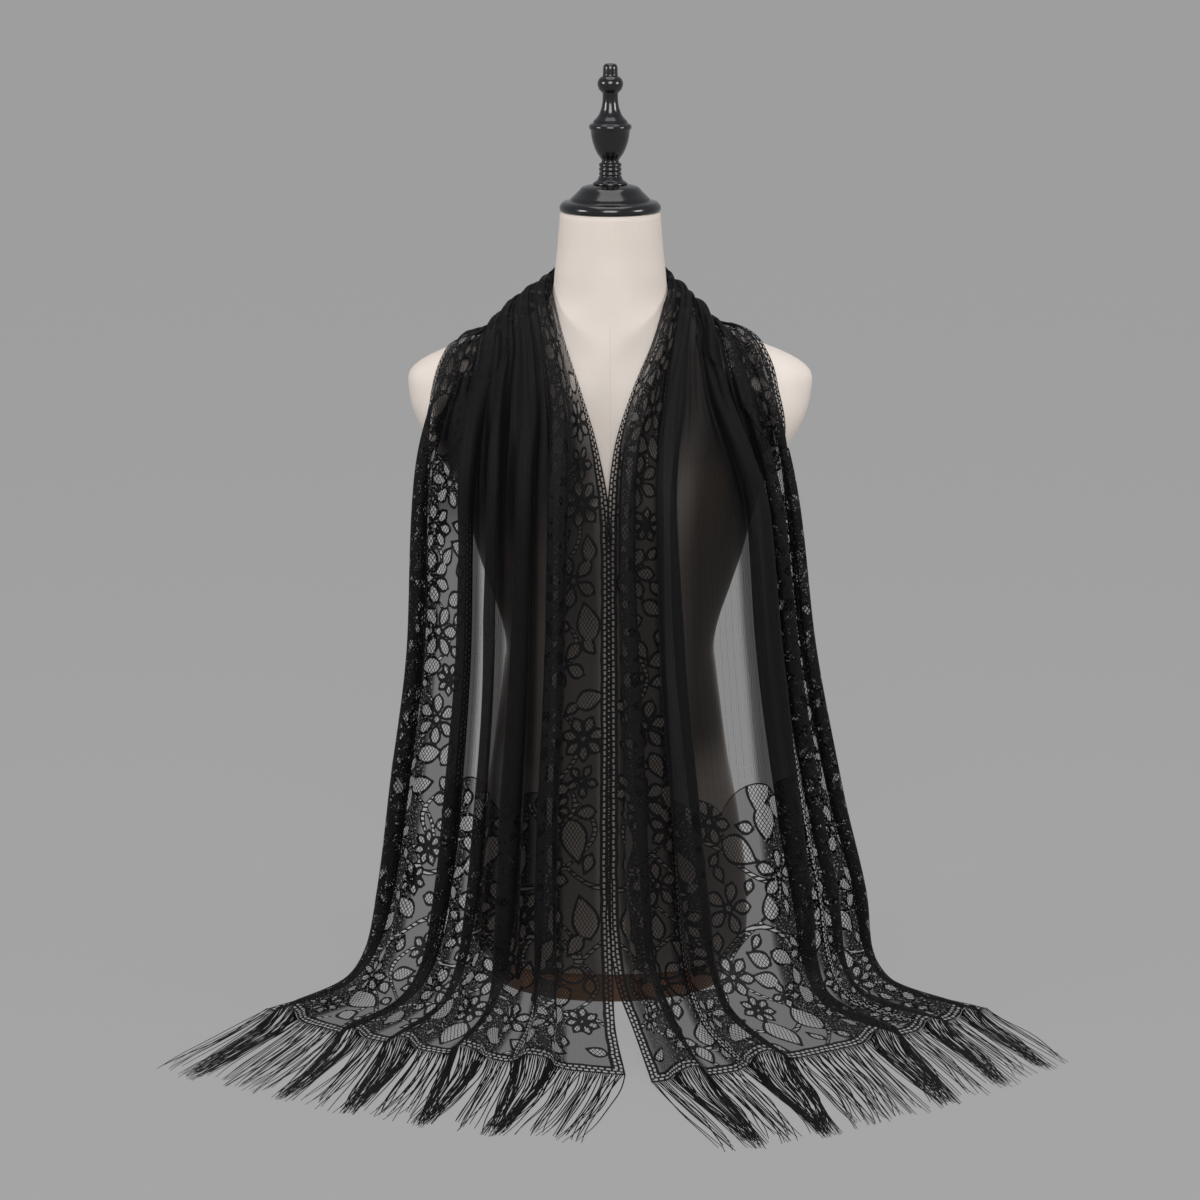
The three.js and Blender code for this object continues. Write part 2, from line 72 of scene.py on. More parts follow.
# %% [markdown]
# The object is a black lace shawl hung round the neck of a tabletop dress form. In real life a shawl like
# this is knitted flat on a lace machine and comes off as one long rectangle. Nothing in it is cut to shape:
# all of its form comes from how it hangs. So the cloth is built in the same order here. First comes the
# flat rectangle, with its pattern in cloth coordinates, and then a set of tables says where each place of
# it hangs.

# %% Cloth sizes, in metres
MM = 0.001
SHAWL_WIDTH = 0.600
HALF_LENGTH = 0.925
NAPE_REACH = 0.1
CLOTH_STEP = 0.0025
CLEARANCE, LEAST_CLEARANCE = 0.0022, 0.0010
print("flat size:", SHAWL_WIDTH, "by", 2 * HALF_LENGTH)

# %% [markdown]
# The cloth is described by stations, which are lines across it from the inner edge to the outer edge. Each
# station gives three points of a smooth sheet. The last two columns say how tightly the flat stretches are
# drawn together there, and how much of the folds' depth stands up. At the neck the cloth is crowded, so it
# is low and tight. Where it hangs free the folds stand out fully, and on the table they sink again.

# %% Stations of the two sides, in millimetres
COLUMNS = ("at", "ix", "iy", "iz", "mx", "my", "mz", "ox", "oy", "oz", "flats", "stand")
LEFT_ROWS = (
    (0, 0, 57, 699, 0, 68, 659, 0, 84, 608, 0.36, 0.2),
    (0.06, -45, 38, 700, -51, 58, 668, -58, 75, 614, 0.36, 0.14),
    (0.12, -55, -2, 692, -84, 23, 676, -110, 43, 633, 0.36, 0.07),
    (0.17, -50, -40, 670, -93, -13, 663, -131, 12, 632, 0.38, 0.14),
    (0.22, -42, -75, 645, -91, -53, 631, -150, -24, 613, 0.42, 0.25),
    (0.27, -27, -95, 601, -95, -87, 592, -168, -46, 590, 0.55, 0.44),
    (0.33, -12, -111, 551, -97, -107, 544, -176, -55, 543, 0.75, 0.66),
    (0.4, -1, -125, 489, -97, -118, 484, -178, -57, 480, 0.95, 0.8),
    (0.55, 1, -143, 352, -99, -126, 345, -182, -58, 340, 1, 0.9),
    (0.7, 1, -163, 215, -106, -134, 208, -199, -54, 203, 1, 0.95),
    (0.8, 1, -178, 123, -113, -141, 114, -214, -50, 108, 1, 0.9),
    (0.87, 3, -193, 62, -124, -150, 52, -234, -52, 44, 1, 0.7),
    (0.93, 5, -228, 24, -144, -177, 18, -266, -68, 11, 1, 0.5),
    (1, 14, -290, 0.65, -184, -217, 0.65, -330, -106, 0.65, 1, 0.34),
)
RIGHT_ROWS = (
    (0, 0, 57, 699, 0, 68, 659, 0, 84, 608, 0.36, 0.2),
    (0.06, 45, 38, 700, 48, 58, 668, 52, 75, 615, 0.36, 0.14),
    (0.12, 54, -2, 692, 76, 23, 676, 90, 43, 633, 0.36, 0.07),
    (0.17, 48, -40, 670, 81, -14, 662, 104, 11, 633, 0.36, 0.14),
    (0.22, 38, -75, 645, 80, -54, 633, 132, -20, 617, 0.4, 0.25),
    (0.27, 20, -96, 601, 82, -88, 594, 150, -43, 590, 0.52, 0.44),
    (0.33, 4, -114, 551, 86, -108, 545, 162, -52, 543, 0.75, 0.66),
    (0.4, -3, -131, 489, 90, -119, 485, 171, -56, 480, 0.95, 0.8),
    (0.55, -4, -150, 352, 97, -127, 346, 187, -57, 342, 1, 0.9),
    (0.7, -4, -170, 215, 111, -135, 208, 214, -54, 203, 1, 0.95),
    (0.8, -3, -186, 123, 123, -143, 114, 240, -51, 108, 1, 0.9),
    (0.87, 4, -202, 62, 134, -153, 52, 254, -52, 42, 1, 0.7),
    (0.93, 21, -238, 24, 154, -182, 18, 284, -68, 10, 1, 0.5),
    (1, 37, -311, 0.65, 210, -224, 0.65, 362, -106, 0.65, 1, 0.34),
)


def over_the_middle(rows):
    """The rows with the second one mirrored in front, so that the curves run level through the nape."""
    at, ix, iy, iz, mx, my, mz, ox, oy, oz, flats, stand = rows[1]
    return ((-at, -ix, iy, iz, -mx, my, mz, -ox, oy, oz, flats, stand), *rows)


LEFT_ROWS, RIGHT_ROWS = over_the_middle(LEFT_ROWS), over_the_middle(RIGHT_ROWS)
print("stations:", len(LEFT_ROWS), "and", len(RIGHT_ROWS))

# %% [markdown]
# The dress form under the cloth is described the same way, by its horizontal sections. Each is an oval with
# slightly squared sides. A real form like this is a padded shell with a linen cover, so its sections change
# slowly.

# %% Sections of the form, in millimetres
FORM_COLUMNS = ("at", "half_width", "front", "back", "square")
FORM_ROWS = (
    (30.3, 126, 88, 96, 2.2),
    (41, 134, 94, 104, 2.2),
    (90, 135, 97, 107, 2.2),
    (136, 131, 96, 105, 2.2),
    (182, 124, 93, 100, 2.2),
    (229, 115, 89, 92, 2.2),
    (280, 108, 84, 80, 2.2),
    (319, 103, 81, 73, 2.2),
    (340, 101, 80, 70, 2.2),
    (367, 106, 84, 71, 2.2),
    (400, 117, 94, 76, 2.2),
    (434, 128, 108, 84, 2.2),
    (472, 138, 118, 92, 2.2),
    (505, 150, 115, 94, 2.25),
    (538, 172, 104, 91, 2.3),
    (566, 187, 93, 85, 2.3),
    (594, 193, 79, 77, 2.3),
    (608, 191, 71, 71, 2.3),
    (620, 176, 63, 64, 2.25),
    (632, 148, 57, 59, 2.2),
    (645, 108, 54, 56, 2.1),
    (660, 78, 52, 54, 2),
    (677, 58, 51, 53, 2),
    (705, 52.5, 50, 51, 2),
    (759, 47.5, 47, 47, 2),
)


def column(rows, names, key, place):
    """One column of a table at many places, on a smooth curve through its rows."""
    at = np.array([row[0] for row in rows], float)
    value = np.array([row[names.index(key)] for row in rows], float)
    step_at = np.concatenate([at[1:], at[-1:]]) - np.concatenate([at[:1], at[:-1]])
    step_value = np.concatenate([value[1:], value[-1:]]) - np.concatenate([value[:1], value[:-1]])
    slope = step_value / step_at
    place = np.asarray(place, float)
    i = np.clip(np.searchsorted(at, place, side="right") - 1, 0, len(at) - 2)
    span = at[i + 1] - at[i]
    u = (place - at[i]) / span
    start = (2 * u**3 - 3 * u**2 + 1) * value[i] + (u**3 - 2 * u**2 + u) * slope[i] * span
    return start + (3 * u**2 - 2 * u**3) * value[i + 1] + (u**3 - u**2) * slope[i + 1] * span


print("waist half width:", column(FORM_ROWS, FORM_COLUMNS, "half_width", 340.0))


# %% [markdown]
# Cloth can't pass through what it lies on. This step measures how far a point is outside the form and
# pushes any point that is too near straight out, so that the shawl rests on the shoulders and the neck.

# %% Keep the cloth off the form
def form_level(points):
    """Above 0 outside the form and below 0 inside it. points is (..., 3), in metres."""
    height = np.clip(points[..., 2] / MM, FORM_ROWS[0][0], FORM_ROWS[-1][0])
    half, front, back, square = (column(FORM_ROWS, FORM_COLUMNS, key, height) for key in FORM_COLUMNS[1:])
    depth = np.where(points[..., 1] < 0, front, back)
    total = (np.abs(points[..., 0]) / MM / half) ** square + (np.abs(points[..., 1]) / MM / depth) ** square
    return total ** (1 / square) - 1


def clear_of_form(points, clearance):
    """Points moved out along the form's slope until they are clear of it."""
    step = 0.0005
    points = points.copy()
    for _ in range(5):
        level = form_level(points)
        slope = np.zeros_like(points)
        for axis in range(3):
            shift = np.zeros(3)
            shift[axis] = step
            slope[..., axis] = (form_level(points + shift) - form_level(points - shift)) / (2 * step)
        steep = np.maximum(np.linalg.norm(slope, axis=-1), 0.1)
        missing = np.maximum(clearance - level / steep, 0)
        points += slope * (missing / steep)[..., None]
    return points


def sheet_points(rows, share, place):
    """The smooth sheet under the folds. share is 0 at the inner edge and 1 at the outer edge."""
    inner, middle, outer = (
        np.stack([column(rows, COLUMNS, key, place) for key in keys], -1) * MM
        for keys in (("ix", "iy", "iz"), ("mx", "my", "mz"), ("ox", "oy", "oz"))
    )
    pull = 2 * middle - 0.5 * inner - 0.5 * outer
    share = share[..., None]
    points = (1 - share) ** 2 * inner + 2 * share * (1 - share) * pull + share**2 * outer
    return clear_of_form(points, CLEARANCE)


print("clear of the form at the chest:", sheet_points(LEFT_ROWS, np.array([0.5]), np.array([0.3])))

# %% [markdown]
# The folds themselves come from one list a side, read off the picture from the inner edge outwards. Each
# fold takes up some cloth. Walking along the cloth, the heading swings out and back over a fold and stays
# level on a flat stretch. The swing is turned up until the whole width just fits into the space that the
# sheet has there. So every station uses the whole width, as in a real hanging shawl, but where the flats
# are drawn together a part of it counts as gathers that are too fine to shape.

# %% Folds across the cloth, in millimetres: middle, cloth taken up, lean in degrees
LEFT_FOLDS = ((100, 108, 14), (210, 104, -10), (323, 90, 12), (417, 74, -8), (545, 94, 16))
RIGHT_FOLDS = ((58, 100, -14), (188, 128, 12), (372, 112, -12), (478, 80, 14), (559, 70, 10))
PATH_STEPS = 600
LOW_TURN, MOST_TURN = math.radians(84), math.radians(114)


def walk(folds, turn, flats):
    """Distance across the sheet and out of it along the cloth, for one fold list and many stations."""
    step = SHAWL_WIDTH / PATH_STEPS
    cloth = (np.arange(PATH_STEPS) + 0.5) * step / MM
    heading = np.zeros((len(turn), PATH_STEPS))
    rate = np.repeat(flats[:, None], PATH_STEPS, 1)
    for k in range(folds.shape[1]):
        middle, taken, lean = (folds[:, k, j][:, None] for j in range(3))
        x = (cloth[None, :] - middle) / (taken / 2)
        inside = np.abs(x) < 1
        tilt = np.radians(lean) * (turn[:, None] / MOST_TURN) * np.cos(np.pi * x / 2) ** 2
        heading = np.where(inside, tilt - turn[:, None] * np.sin(np.pi * x), heading)
        rate = np.where(inside, 1, rate)
    start = np.zeros((len(turn), 1))
    across = np.concatenate([start, np.cumsum(np.cos(heading) * rate * step, 1)], 1)
    out = np.concatenate([start, np.cumsum(np.sin(heading) * step, 1)], 1)
    out -= out[:, -1:] * np.linspace(0, 1, PATH_STEPS + 1)[None, :]
    return across, out


def fold_paths(rows, folds, places):
    """The walked paths that just fill the sheet's width at each place along the shawl."""
    grid = sheet_points(rows, *np.meshgrid(np.linspace(0, 1, 17), places))
    width = np.linalg.norm(np.diff(grid, axis=1), axis=-1).sum(1)
    flats = column(rows, COLUMNS, "flats", places)
    stand = column(rows, COLUMNS, "stand", places)
    ease = np.clip((stand - 0.35) / 0.45, 0, 1)
    low = np.zeros(len(places))
    high = LOW_TURN + (MOST_TURN - LOW_TURN) * ease * ease * (3 - 2 * ease)
    for _ in range(24):
        turn = (low + high) / 2
        wide = walk(folds, turn, flats)[0][:, -1] > width
        low, high = np.where(wide, turn, low), np.where(wide, high, turn)
    across, out = walk(folds, (low + high) / 2, flats)
    return across / across[:, -1:], (out - out.min(1, keepdims=True)) * stand[:, None]


def side_folds(places, side):
    """The fold list at each place. Round the nape the left side's folds run over into the right side's."""
    mix = 0.5 + side * np.minimum(places / NAPE_REACH, 1) / 2
    left, right = np.array(LEFT_FOLDS, float), np.array(RIGHT_FOLDS, float)
    return left[None] * (1 - mix)[:, None, None] + right[None] * mix[:, None, None]


def cloth_grid(side, places, cloth):
    """The folded cloth of one side (-1 left, 1 right): one row a place, one column a cloth coordinate."""
    rows = LEFT_ROWS if side < 0 else RIGHT_ROWS
    share, out = fold_paths(rows, side_folds(places, side), places)
    at = cloth / SHAWL_WIDTH * PATH_STEPS
    knots = np.arange(PATH_STEPS + 1)
    share, out = (np.stack([np.interp(at, knots, line) for line in lines]) for lines in (share, out))
    place = np.repeat(places[:, None], len(cloth), 1)
    nudge, slip = 0.004, 0.01
    below = sheet_points(rows, share, np.minimum(place + nudge, 1))
    along = below - sheet_points(rows, share, np.maximum(place - nudge, 0))
    wide = sheet_points(rows, share + slip, place) - sheet_points(rows, share - slip, place)
    normal = np.cross(wide, along) * -side
    normal /= np.linalg.norm(normal, axis=-1, keepdims=True)
    return sheet_points(rows, share, place) + normal * out[..., None]


print("hem corners:", cloth_grid(-1, np.array([1.0]), np.array([0.0, SHAWL_WIDTH])))

# %% [markdown]
# A knitted shawl is also full of folds too fine to place one by one. Where it is crowded round the neck it
# lies in tight small gathers, and in the big folds lower down a few of them stay. They use up the cloth
# that the big folds don't. The cloth there lies two or three deep, so this step also works out how many
# layers the eye looks through. On the shoulders the outer border is turned under, which adds layers too.

# %% Fine gathers and layers
GATHER_PITCH = 0.026
NAPE_GATHER, SHOULDER_GATHER, LOWEST_GATHER = 0.0078, 0.0011, 0.0010
NAPE_FADES, SHOULDER_FADES = (0.04, 0.09), (0.24, 0.40)
CROWDED = {-1: (0.32, 0.44), 1: (0.25, 0.37)}
FOLD_LAYERS, CROWD_LAYERS, TURNED_LAYERS = 3.6, 2.6, 3
INNER_LAYERS, INNER_BORDER = {-1: 0.05, 1: 0.4}, (0.034, 0.056)
TURNED_BORDER, TURNED_FADES = (0.440, 0.490), (0.27, 0.38)


def soft_step(value, low, high):
    """0 below low and 1 above high, smooth between them."""
    share = np.clip((value - low) / (high - low), 0, 1)
    return share * share * (3 - 2 * share)


def fold_share(side, places, cloth):
    """1 in the middle of a big fold and 0 on the flats, over a grid of places and cloth coordinates."""
    folds = side_folds(places, side) * MM
    best = np.zeros((len(places), len(cloth)))
    for k in range(folds.shape[1]):
        x = (cloth[None, :] - folds[:, k, 0][:, None]) / (folds[:, k, 1][:, None] / 2)
        best = np.maximum(best, 1 - soft_step(np.abs(x), 0.80, 0.98))
    return best


def gather_height(side, places, cloth):
    """The fine gathers' lift over a grid of places and cloth coordinates, in metres."""
    u = cloth[None, :]
    v = (places * HALF_LENGTH)[:, None]
    apart = side * soft_step(places, 0, 0.12)[:, None]
    phase = u / GATHER_PITCH * 2 * np.pi + 1.1 * np.sin(u * 41 + apart) + 0.5 * np.sin(v * v * 30 + u * 23)
    nape = 1 - soft_step(places, *NAPE_FADES)[:, None]
    shoulder = 1 - soft_step(places, *SHOULDER_FADES)[:, None]
    loose = LOWEST_GATHER * fold_share(side, places, cloth) * (0.6 + 0.4 * np.sin(v * 9 + u * 31))
    return np.sin(phase) * np.maximum(np.maximum(NAPE_GATHER * nape, SHOULDER_GATHER * shoulder), loose)


def layer_count(side, places, cloth):
    """How many layers of cloth lie on each other at each place of the grid."""
    tight = 1 - soft_step(places, *CROWDED[side])[:, None]
    least = INNER_LAYERS[side]
    inner = least + (1 - least) * soft_step(cloth, *INNER_BORDER)[None, :]
    fold = fold_share(side, places, cloth)
    high = 1 - soft_step(places, *TURNED_FADES)[:, None]
    turned = soft_step(cloth, *TURNED_BORDER)[None, :] * high
    return 1 + (FOLD_LAYERS * fold + CROWD_LAYERS * tight) * inner + TURNED_LAYERS * turned


print("gathers across the nape:", int(SHAWL_WIDTH / GATHER_PITCH))

# %% [markdown]
# Between the main folds real cloth carries soft creases, where it has been bent or pressed. No two are
# alike. They are placed one by one in this table, in cloth coordinates: where each starts and ends across (in
# millimetres from the inner edge) and along (as a share of the way to the hem), how wide it is and how
# deep. A negative depth is a trough.

# %% Soft creases laid on the folds
CREASES = {
    -1: (
        (22, 0.12, 30, 0.46, 9, 2.2), (40, 0.3, 16, 0.72, 12, -1.8), (95, 0.2, 110, 0.5, 10, 2.4),
        (130, 0.36, 120, 0.8, 13, -2.2), (160, 0.16, 185, 0.42, 8, 2), (205, 0.44, 222, 0.9, 14, 2.6),
        (245, 0.2, 262, 0.62, 9, -2), (300, 0.3, 318, 0.55, 8, 2.2), (335, 0.5, 325, 0.86, 12, -2.4),
        (392, 0.24, 404, 0.7, 9, 1.8), (440, 0.4, 430, 0.96, 12, 2.2), (478, 0.18, 470, 0.4, 9, -2.2),
        (500, 0.46, 520, 0.84, 11, 2.4), (560, 0.26, 548, 0.66, 12, -2.6), (585, 0.5, 592, 0.95, 9, 2),
        (60, 0.82, 30, 0.97, 14, 3), (180, 0.86, 150, 0.99, 15, 2.6), (380, 0.84, 420, 0.98, 14, -2.6),
        (150, 0.08, 196, 0.36, 13, 3.4), (236, 0.08, 306, 0.38, 15, 4.2), (292, 0.1, 372, 0.4, 10, -3),
        (336, 0.08, 432, 0.42, 17, 4.8), (440, 0.08, 508, 0.36, 14, 3.8),
    ),
    1: (
        (14, 0.2, 26, 0.6, 9, 2), (70, 0.3, 82, 0.74, 12, -2.4), (116, 0.14, 120, 0.44, 8, 2.2),
        (150, 0.4, 168, 0.82, 14, 2.4), (196, 0.22, 214, 0.5, 10, -2.2), (232, 0.5, 240, 0.9, 12, 2.2),
        (268, 0.2, 282, 0.56, 10, 2), (306, 0.46, 290, 0.88, 14, -2), (350, 0.3, 366, 0.64, 10, 2.6),
        (400, 0.52, 388, 0.92, 12, -2.4), (446, 0.18, 452, 0.48, 8, 2), (492, 0.34, 480, 0.78, 11, 2.4),
        (530, 0.2, 524, 0.6, 8, -2), (575, 0.42, 566, 0.88, 11, 2.2), (40, 0.84, 70, 0.98, 14, 3),
        (250, 0.86, 280, 0.99, 15, 2.4), (470, 0.84, 510, 0.97, 14, -2.6),
        (146, 0.08, 176, 0.34, 12, 3.2), (256, 0.08, 336, 0.38, 16, 4.4), (312, 0.1, 396, 0.4, 10, -3),
        (356, 0.08, 452, 0.4, 16, 4.6), (452, 0.08, 514, 0.34, 14, 3.6),
    ),
}


def crease_height(side, places, cloth):
    """How far the creases lift the cloth, over a grid of places and cloth coordinates, in metres."""
    u, v = np.meshgrid(cloth, places * HALF_LENGTH)
    height = np.zeros_like(u)
    for u0, at0, u1, at1, width, depth in CREASES[side]:
        start = np.array([u0 * MM, at0 * HALF_LENGTH])
        run = np.array([u1 * MM, at1 * HALF_LENGTH]) - start
        length = np.linalg.norm(run)
        along = ((u - start[0]) * run[0] + (v - start[1]) * run[1]) / length**2
        off = ((u - start[0]) * run[1] - (v - start[1]) * run[0]) / length
        fade = np.sin(np.pi * np.clip(along, 0, 1)) ** 0.8
        height += depth * MM * fade * np.exp(-((off / (width * MM)) ** 2))
    return height


print("creases:", len(CREASES[-1]), "and", len(CREASES[1]))

# %% [markdown]
# The pattern of the lace is worked out flat, before the cloth is hung, as the knitter's chart would be. Two
# floral bands run along the long edges and a deep floral panel fills each end. The flowers and leaves are
# ordinary ones on wandering stems. A seeded random number generator tries places for them, the large ones
# first, and keeps those that are clear of the ones before, so they pack closely without touching. Nothing
# is copied from any design. For every place of the cloth the code keeps the distance to the nearest motif's
# edge (above 0 inside it) and the distance to the nearest stem. The material turns those distances into
# threads later, which keeps the outlines crisp.

# %% Lace sizes and the kinds of motif: name, smallest and largest size in millimetres, room it needs, tries
BAND_WIDTH, PANEL_LENGTH = 0.138, 0.290
LADDER_WIDTH = 0.010
BAND_REPEAT = 0.300
MOTIF_KINDS = (
    ("flower", 19, 24, 1.12, 60),
    ("flower", 14, 17, 1.12, 60),
    ("leaf", 34, 44, 0.40, 150),
    ("leaf", 24, 32, 0.40, 300),
    ("leaf", 15, 21, 0.42, 700),
)


def scatter(width, length, seed, repeats):
    """Motifs packed into a rectangle: across, along, kind, size and turn, in metres and radians."""
    rng = np.random.default_rng(seed)
    kept = []
    for kind, smallest, largest, room, tries in MOTIF_KINDS:
        for _ in range(tries):
            size = rng.uniform(smallest, largest) * MM
            reach = size * room
            across, along = rng.uniform(0.011 + reach * 0.8, width - reach * 0.8), rng.uniform(0, length)
            clear = True
            for other_across, other_along, _, _, _, other_reach in kept:
                gap = abs(along - other_along)
                gap = min(gap, length - gap) if repeats else gap
                clear = clear and math.hypot(across - other_across, gap) > (reach + other_reach) * 0.93
            inside = repeats or reach < along < length - reach * 0.5
            if clear and inside:
                turn = 0.8 * math.sin(along * 2 * math.pi / 0.15)
                turn += rng.choice([-1, 1]) * rng.uniform(0.3, 0.9)
                kept.append((across, along, kind, size, turn + math.pi * rng.integers(0, 2), reach))
    return [row[:5] for row in kept]


BAND_MOTIFS = scatter(BAND_WIDTH, BAND_REPEAT, 5, True)
PANEL_MOTIFS = scatter(SHAWL_WIDTH - 0.011, PANEL_LENGTH, 8, False)
print("motifs in a band's repeat:", len(BAND_MOTIFS), "and in a panel:", len(PANEL_MOTIFS))


# %% Distances to motifs and stems
def leaf_distance(u, v, across, along, size, turn):
    """Distance to the edge of a leaf or petal, narrow at its foot and round at its tip, above 0 inside."""
    x = (u - across) * math.sin(turn) + (v - along) * math.cos(turn)
    y = (u - across) * math.cos(turn) - (v - along) * math.sin(turn)
    reach = np.clip(x / size + 0.5, 0, 1)
    half = 0.31 * size * np.sin(np.pi * reach**1.35) ** 0.7
    return np.minimum((half - np.abs(y)) * 0.85, 0.75 * (size / 2 - np.abs(x)))


def flower_distance(u, v, across, along, size, turn):
    """Distance to the edge of a flower with a heart and five to seven petals, above 0 inside it."""
    best = size * 0.19 - np.hypot(u - across, v - along)
    petals = 5 + int(size * 1e5) % 3
    for k in range(petals):
        angle = turn + k * 2 * math.pi / petals
        petal_u = across + math.sin(angle) * size * 0.68
        petal_v = along + math.cos(angle) * size * 0.68
        petal = leaf_distance(u, v, petal_u, petal_v, size * (1.08 - 0.03 * petals), angle)
        best = np.maximum(best, petal)
    return best


SHAPES = {"leaf": leaf_distance, "flower": flower_distance}


def add_motif(best, u, v, across, along, kind, size, turn):
    """Lays one motif into the grid of distances, only where it reaches."""
    near = (np.abs(u - across) < size * 1.4) & (np.abs(v - along) < size * 1.4)
    if near.any():
        best[near] = np.maximum(best[near], SHAPES[kind](u[near], v[near], across, along, size, turn))


def motif_distance(u, v):
    """Distance to the nearest motif edge. u is across and v along from the middle of the nape, in metres."""
    best = np.full(u.shape, -0.02)
    from_hem = HALF_LENGTH - np.abs(v)
    for across, along, kind, size, turn in PANEL_MOTIFS:
        add_motif(best, u, from_hem, across, along + 0.011, kind, size, turn)
    edge = np.minimum(u, SHAWL_WIDTH - u)
    free = HALF_LENGTH - PANEL_LENGTH
    for k in range(int(2 * free / BAND_REPEAT) + 1):
        for across, along, kind, size, turn in BAND_MOTIFS:
            middle = -free + k * BAND_REPEAT + along
            if abs(middle) < free:
                add_motif(best, edge, v, across, middle, kind, size, turn)
    return best


def stem_distance(u, v):
    """Distance to the nearest wandering stem, in metres."""
    edge = np.minimum(u, SHAWL_WIDTH - u)
    from_hem = HALF_LENGTH - np.abs(v)
    best = np.abs(edge - 0.070 - 0.034 * np.sin(v * 2 * np.pi / 0.150))
    best = np.minimum(best, np.abs(edge - 0.075 + 0.042 * np.sin(v * 2 * np.pi / 0.200 + 1)))
    panel = from_hem < PANEL_LENGTH
    for k in range(7):
        line = 0.050 + k * 0.083 + 0.034 * np.sin(from_hem * 2 * np.pi / 0.15 + k * 1.9)
        best = np.where(panel, np.minimum(best, np.abs(u - line)), best)
    for k in range(3):
        line = 0.060 + k * 0.085 + 0.022 * np.sin(u * 2 * np.pi / 0.16 + k * 2.2)
        best = np.where(panel, np.minimum(best, np.abs(from_hem - line)), best)
    return np.minimum(best, 0.02)


def lace_share(u, v):
    """Above 0 in the floral bands and panels, below 0 in the plain middle. The panels have scalloped tops."""
    band = BAND_WIDTH - np.minimum(u, SHAWL_WIDTH - u)
    scallop = np.abs(np.sin(u * np.pi / 0.072 + 0.4)) ** 0.6 * 0.022 + 0.008 * np.sin(u * 2 * np.pi / 0.31)
    panel = PANEL_LENGTH - 0.012 + scallop - (HALF_LENGTH - np.abs(v))
    return np.maximum(band, panel)


print("band and panel:", BAND_WIDTH, PANEL_LENGTH)

# %% [markdown]
# The materials are made from a few small helpers. Each returns the socket that carries its result, so a
# material reads like a formula. The lace material works in cloth metres from the UV map: the knitted ground
# lets some light through, the motifs are an open net of small six-sided cells, and thick threads outline
# them.


# %% Material helpers
class Nodes:
    """Adds nodes to any node tree. An input is given a socket to link or a plain value."""

    def __init__(self, tree):
        self.tree = tree

    def feed(self, socket, value):
        if isinstance(value, bpy.types.NodeSocket):
            self.tree.links.new(value, socket)
        else:
            socket.default_value = value

    def node(self, kind, **inputs):
        made = self.tree.nodes.new(kind)
        for key, value in inputs.items():
            self.feed(made.inputs[key.replace("_", " ")], value)
        return made


class Tree(Nodes):
    """A material's node tree with short calls for the nodes that this scene uses."""

    def __init__(self, name):
        self.material = bpy.data.materials.new(name)
        self.material.use_nodes = True
        super().__init__(self.material.node_tree)
        self.shader = self.tree.nodes["Principled BSDF"]

    def math(self, operation, *values, kind="ShaderNodeMath"):
        made = self.tree.nodes.new(kind)
        made.operation = operation
        for socket, value in zip(made.inputs, values):
            self.feed(socket, value)
        return made.outputs[0]

    def vector(self, operation, *values):
        return self.math(operation, *values, kind="ShaderNodeVectorMath")

    def ease(self, value, low, high):
        """0 below low and 1 above high, smooth between them."""
        made = self.tree.nodes.new("ShaderNodeMapRange")
        made.interpolation_type = "SMOOTHSTEP"
        self.feed(made.inputs["Value"], value)
        self.feed(made.inputs["From Min"], low)
        self.feed(made.inputs["From Max"], high)
        return made.outputs["Result"]

    def mix(self, share, first, second, colours=False):
        """first at share 0 and second at share 1. A mix node has separate sockets for colours."""
        made = self.tree.nodes.new("ShaderNodeMix")
        made.data_type = "RGBA" if colours else "FLOAT"
        for k, value in zip((0, 6, 7) if colours else (0, 2, 3), (share, first, second)):
            self.feed(made.inputs[k], value)
        return made.outputs[2 if colours else 0]

    def times(self, *values):
        return self.math("MULTIPLY", *values)

    def plus(self, *values):
        return self.math("ADD", *values)

    def minus(self, *values):
        return self.math("SUBTRACT", *values)

    def rest(self, value):
        """1 minus the value."""
        return self.minus(1.0, value)

    def size(self, value):
        """The value without its sign."""
        return self.math("ABSOLUTE", value)

    def attribute(self, name):
        made = self.tree.nodes.new("ShaderNodeAttribute")
        made.attribute_name = name
        return made.outputs["Fac"]

    def set(self, **values):
        for key, value in values.items():
            self.feed(self.shader.inputs[key.replace("_", " ")], value)


print("helpers ready")


# %% Lace: thread sizes in metres, and the share of the light that each part stops
GROUND_NET, MOTIF_NET = (0.0021, 0.0026, 0.3, 0.7), (0.0038, 0.0054, 0.2, 0.42)
RIB_PITCH, CHAIN_PITCH = 0.0017, 0.0046
DOTS_ACROSS, DOTS_ALONG, DASH_PITCH = 0.0072, 0.0026, 0.025
LADDER_ROW, LADDER_STEP, BORDER = 0.004, 0.0054, 0.0104
WANDER = 0.0018
PLAIN, RIB, DOT, GROUND, GROUND_HOLE = 0.33, 0.06, 0.75, 0.66, -0.2
THICK_THREAD, RAIL, NET_HOLE, LADDER_HOLE, SPECK = 0.97, 0.98, 0.05, 0.06, 0.52
CHAIN_LINK, CHAIN_HOLE = 0.96, 0.08


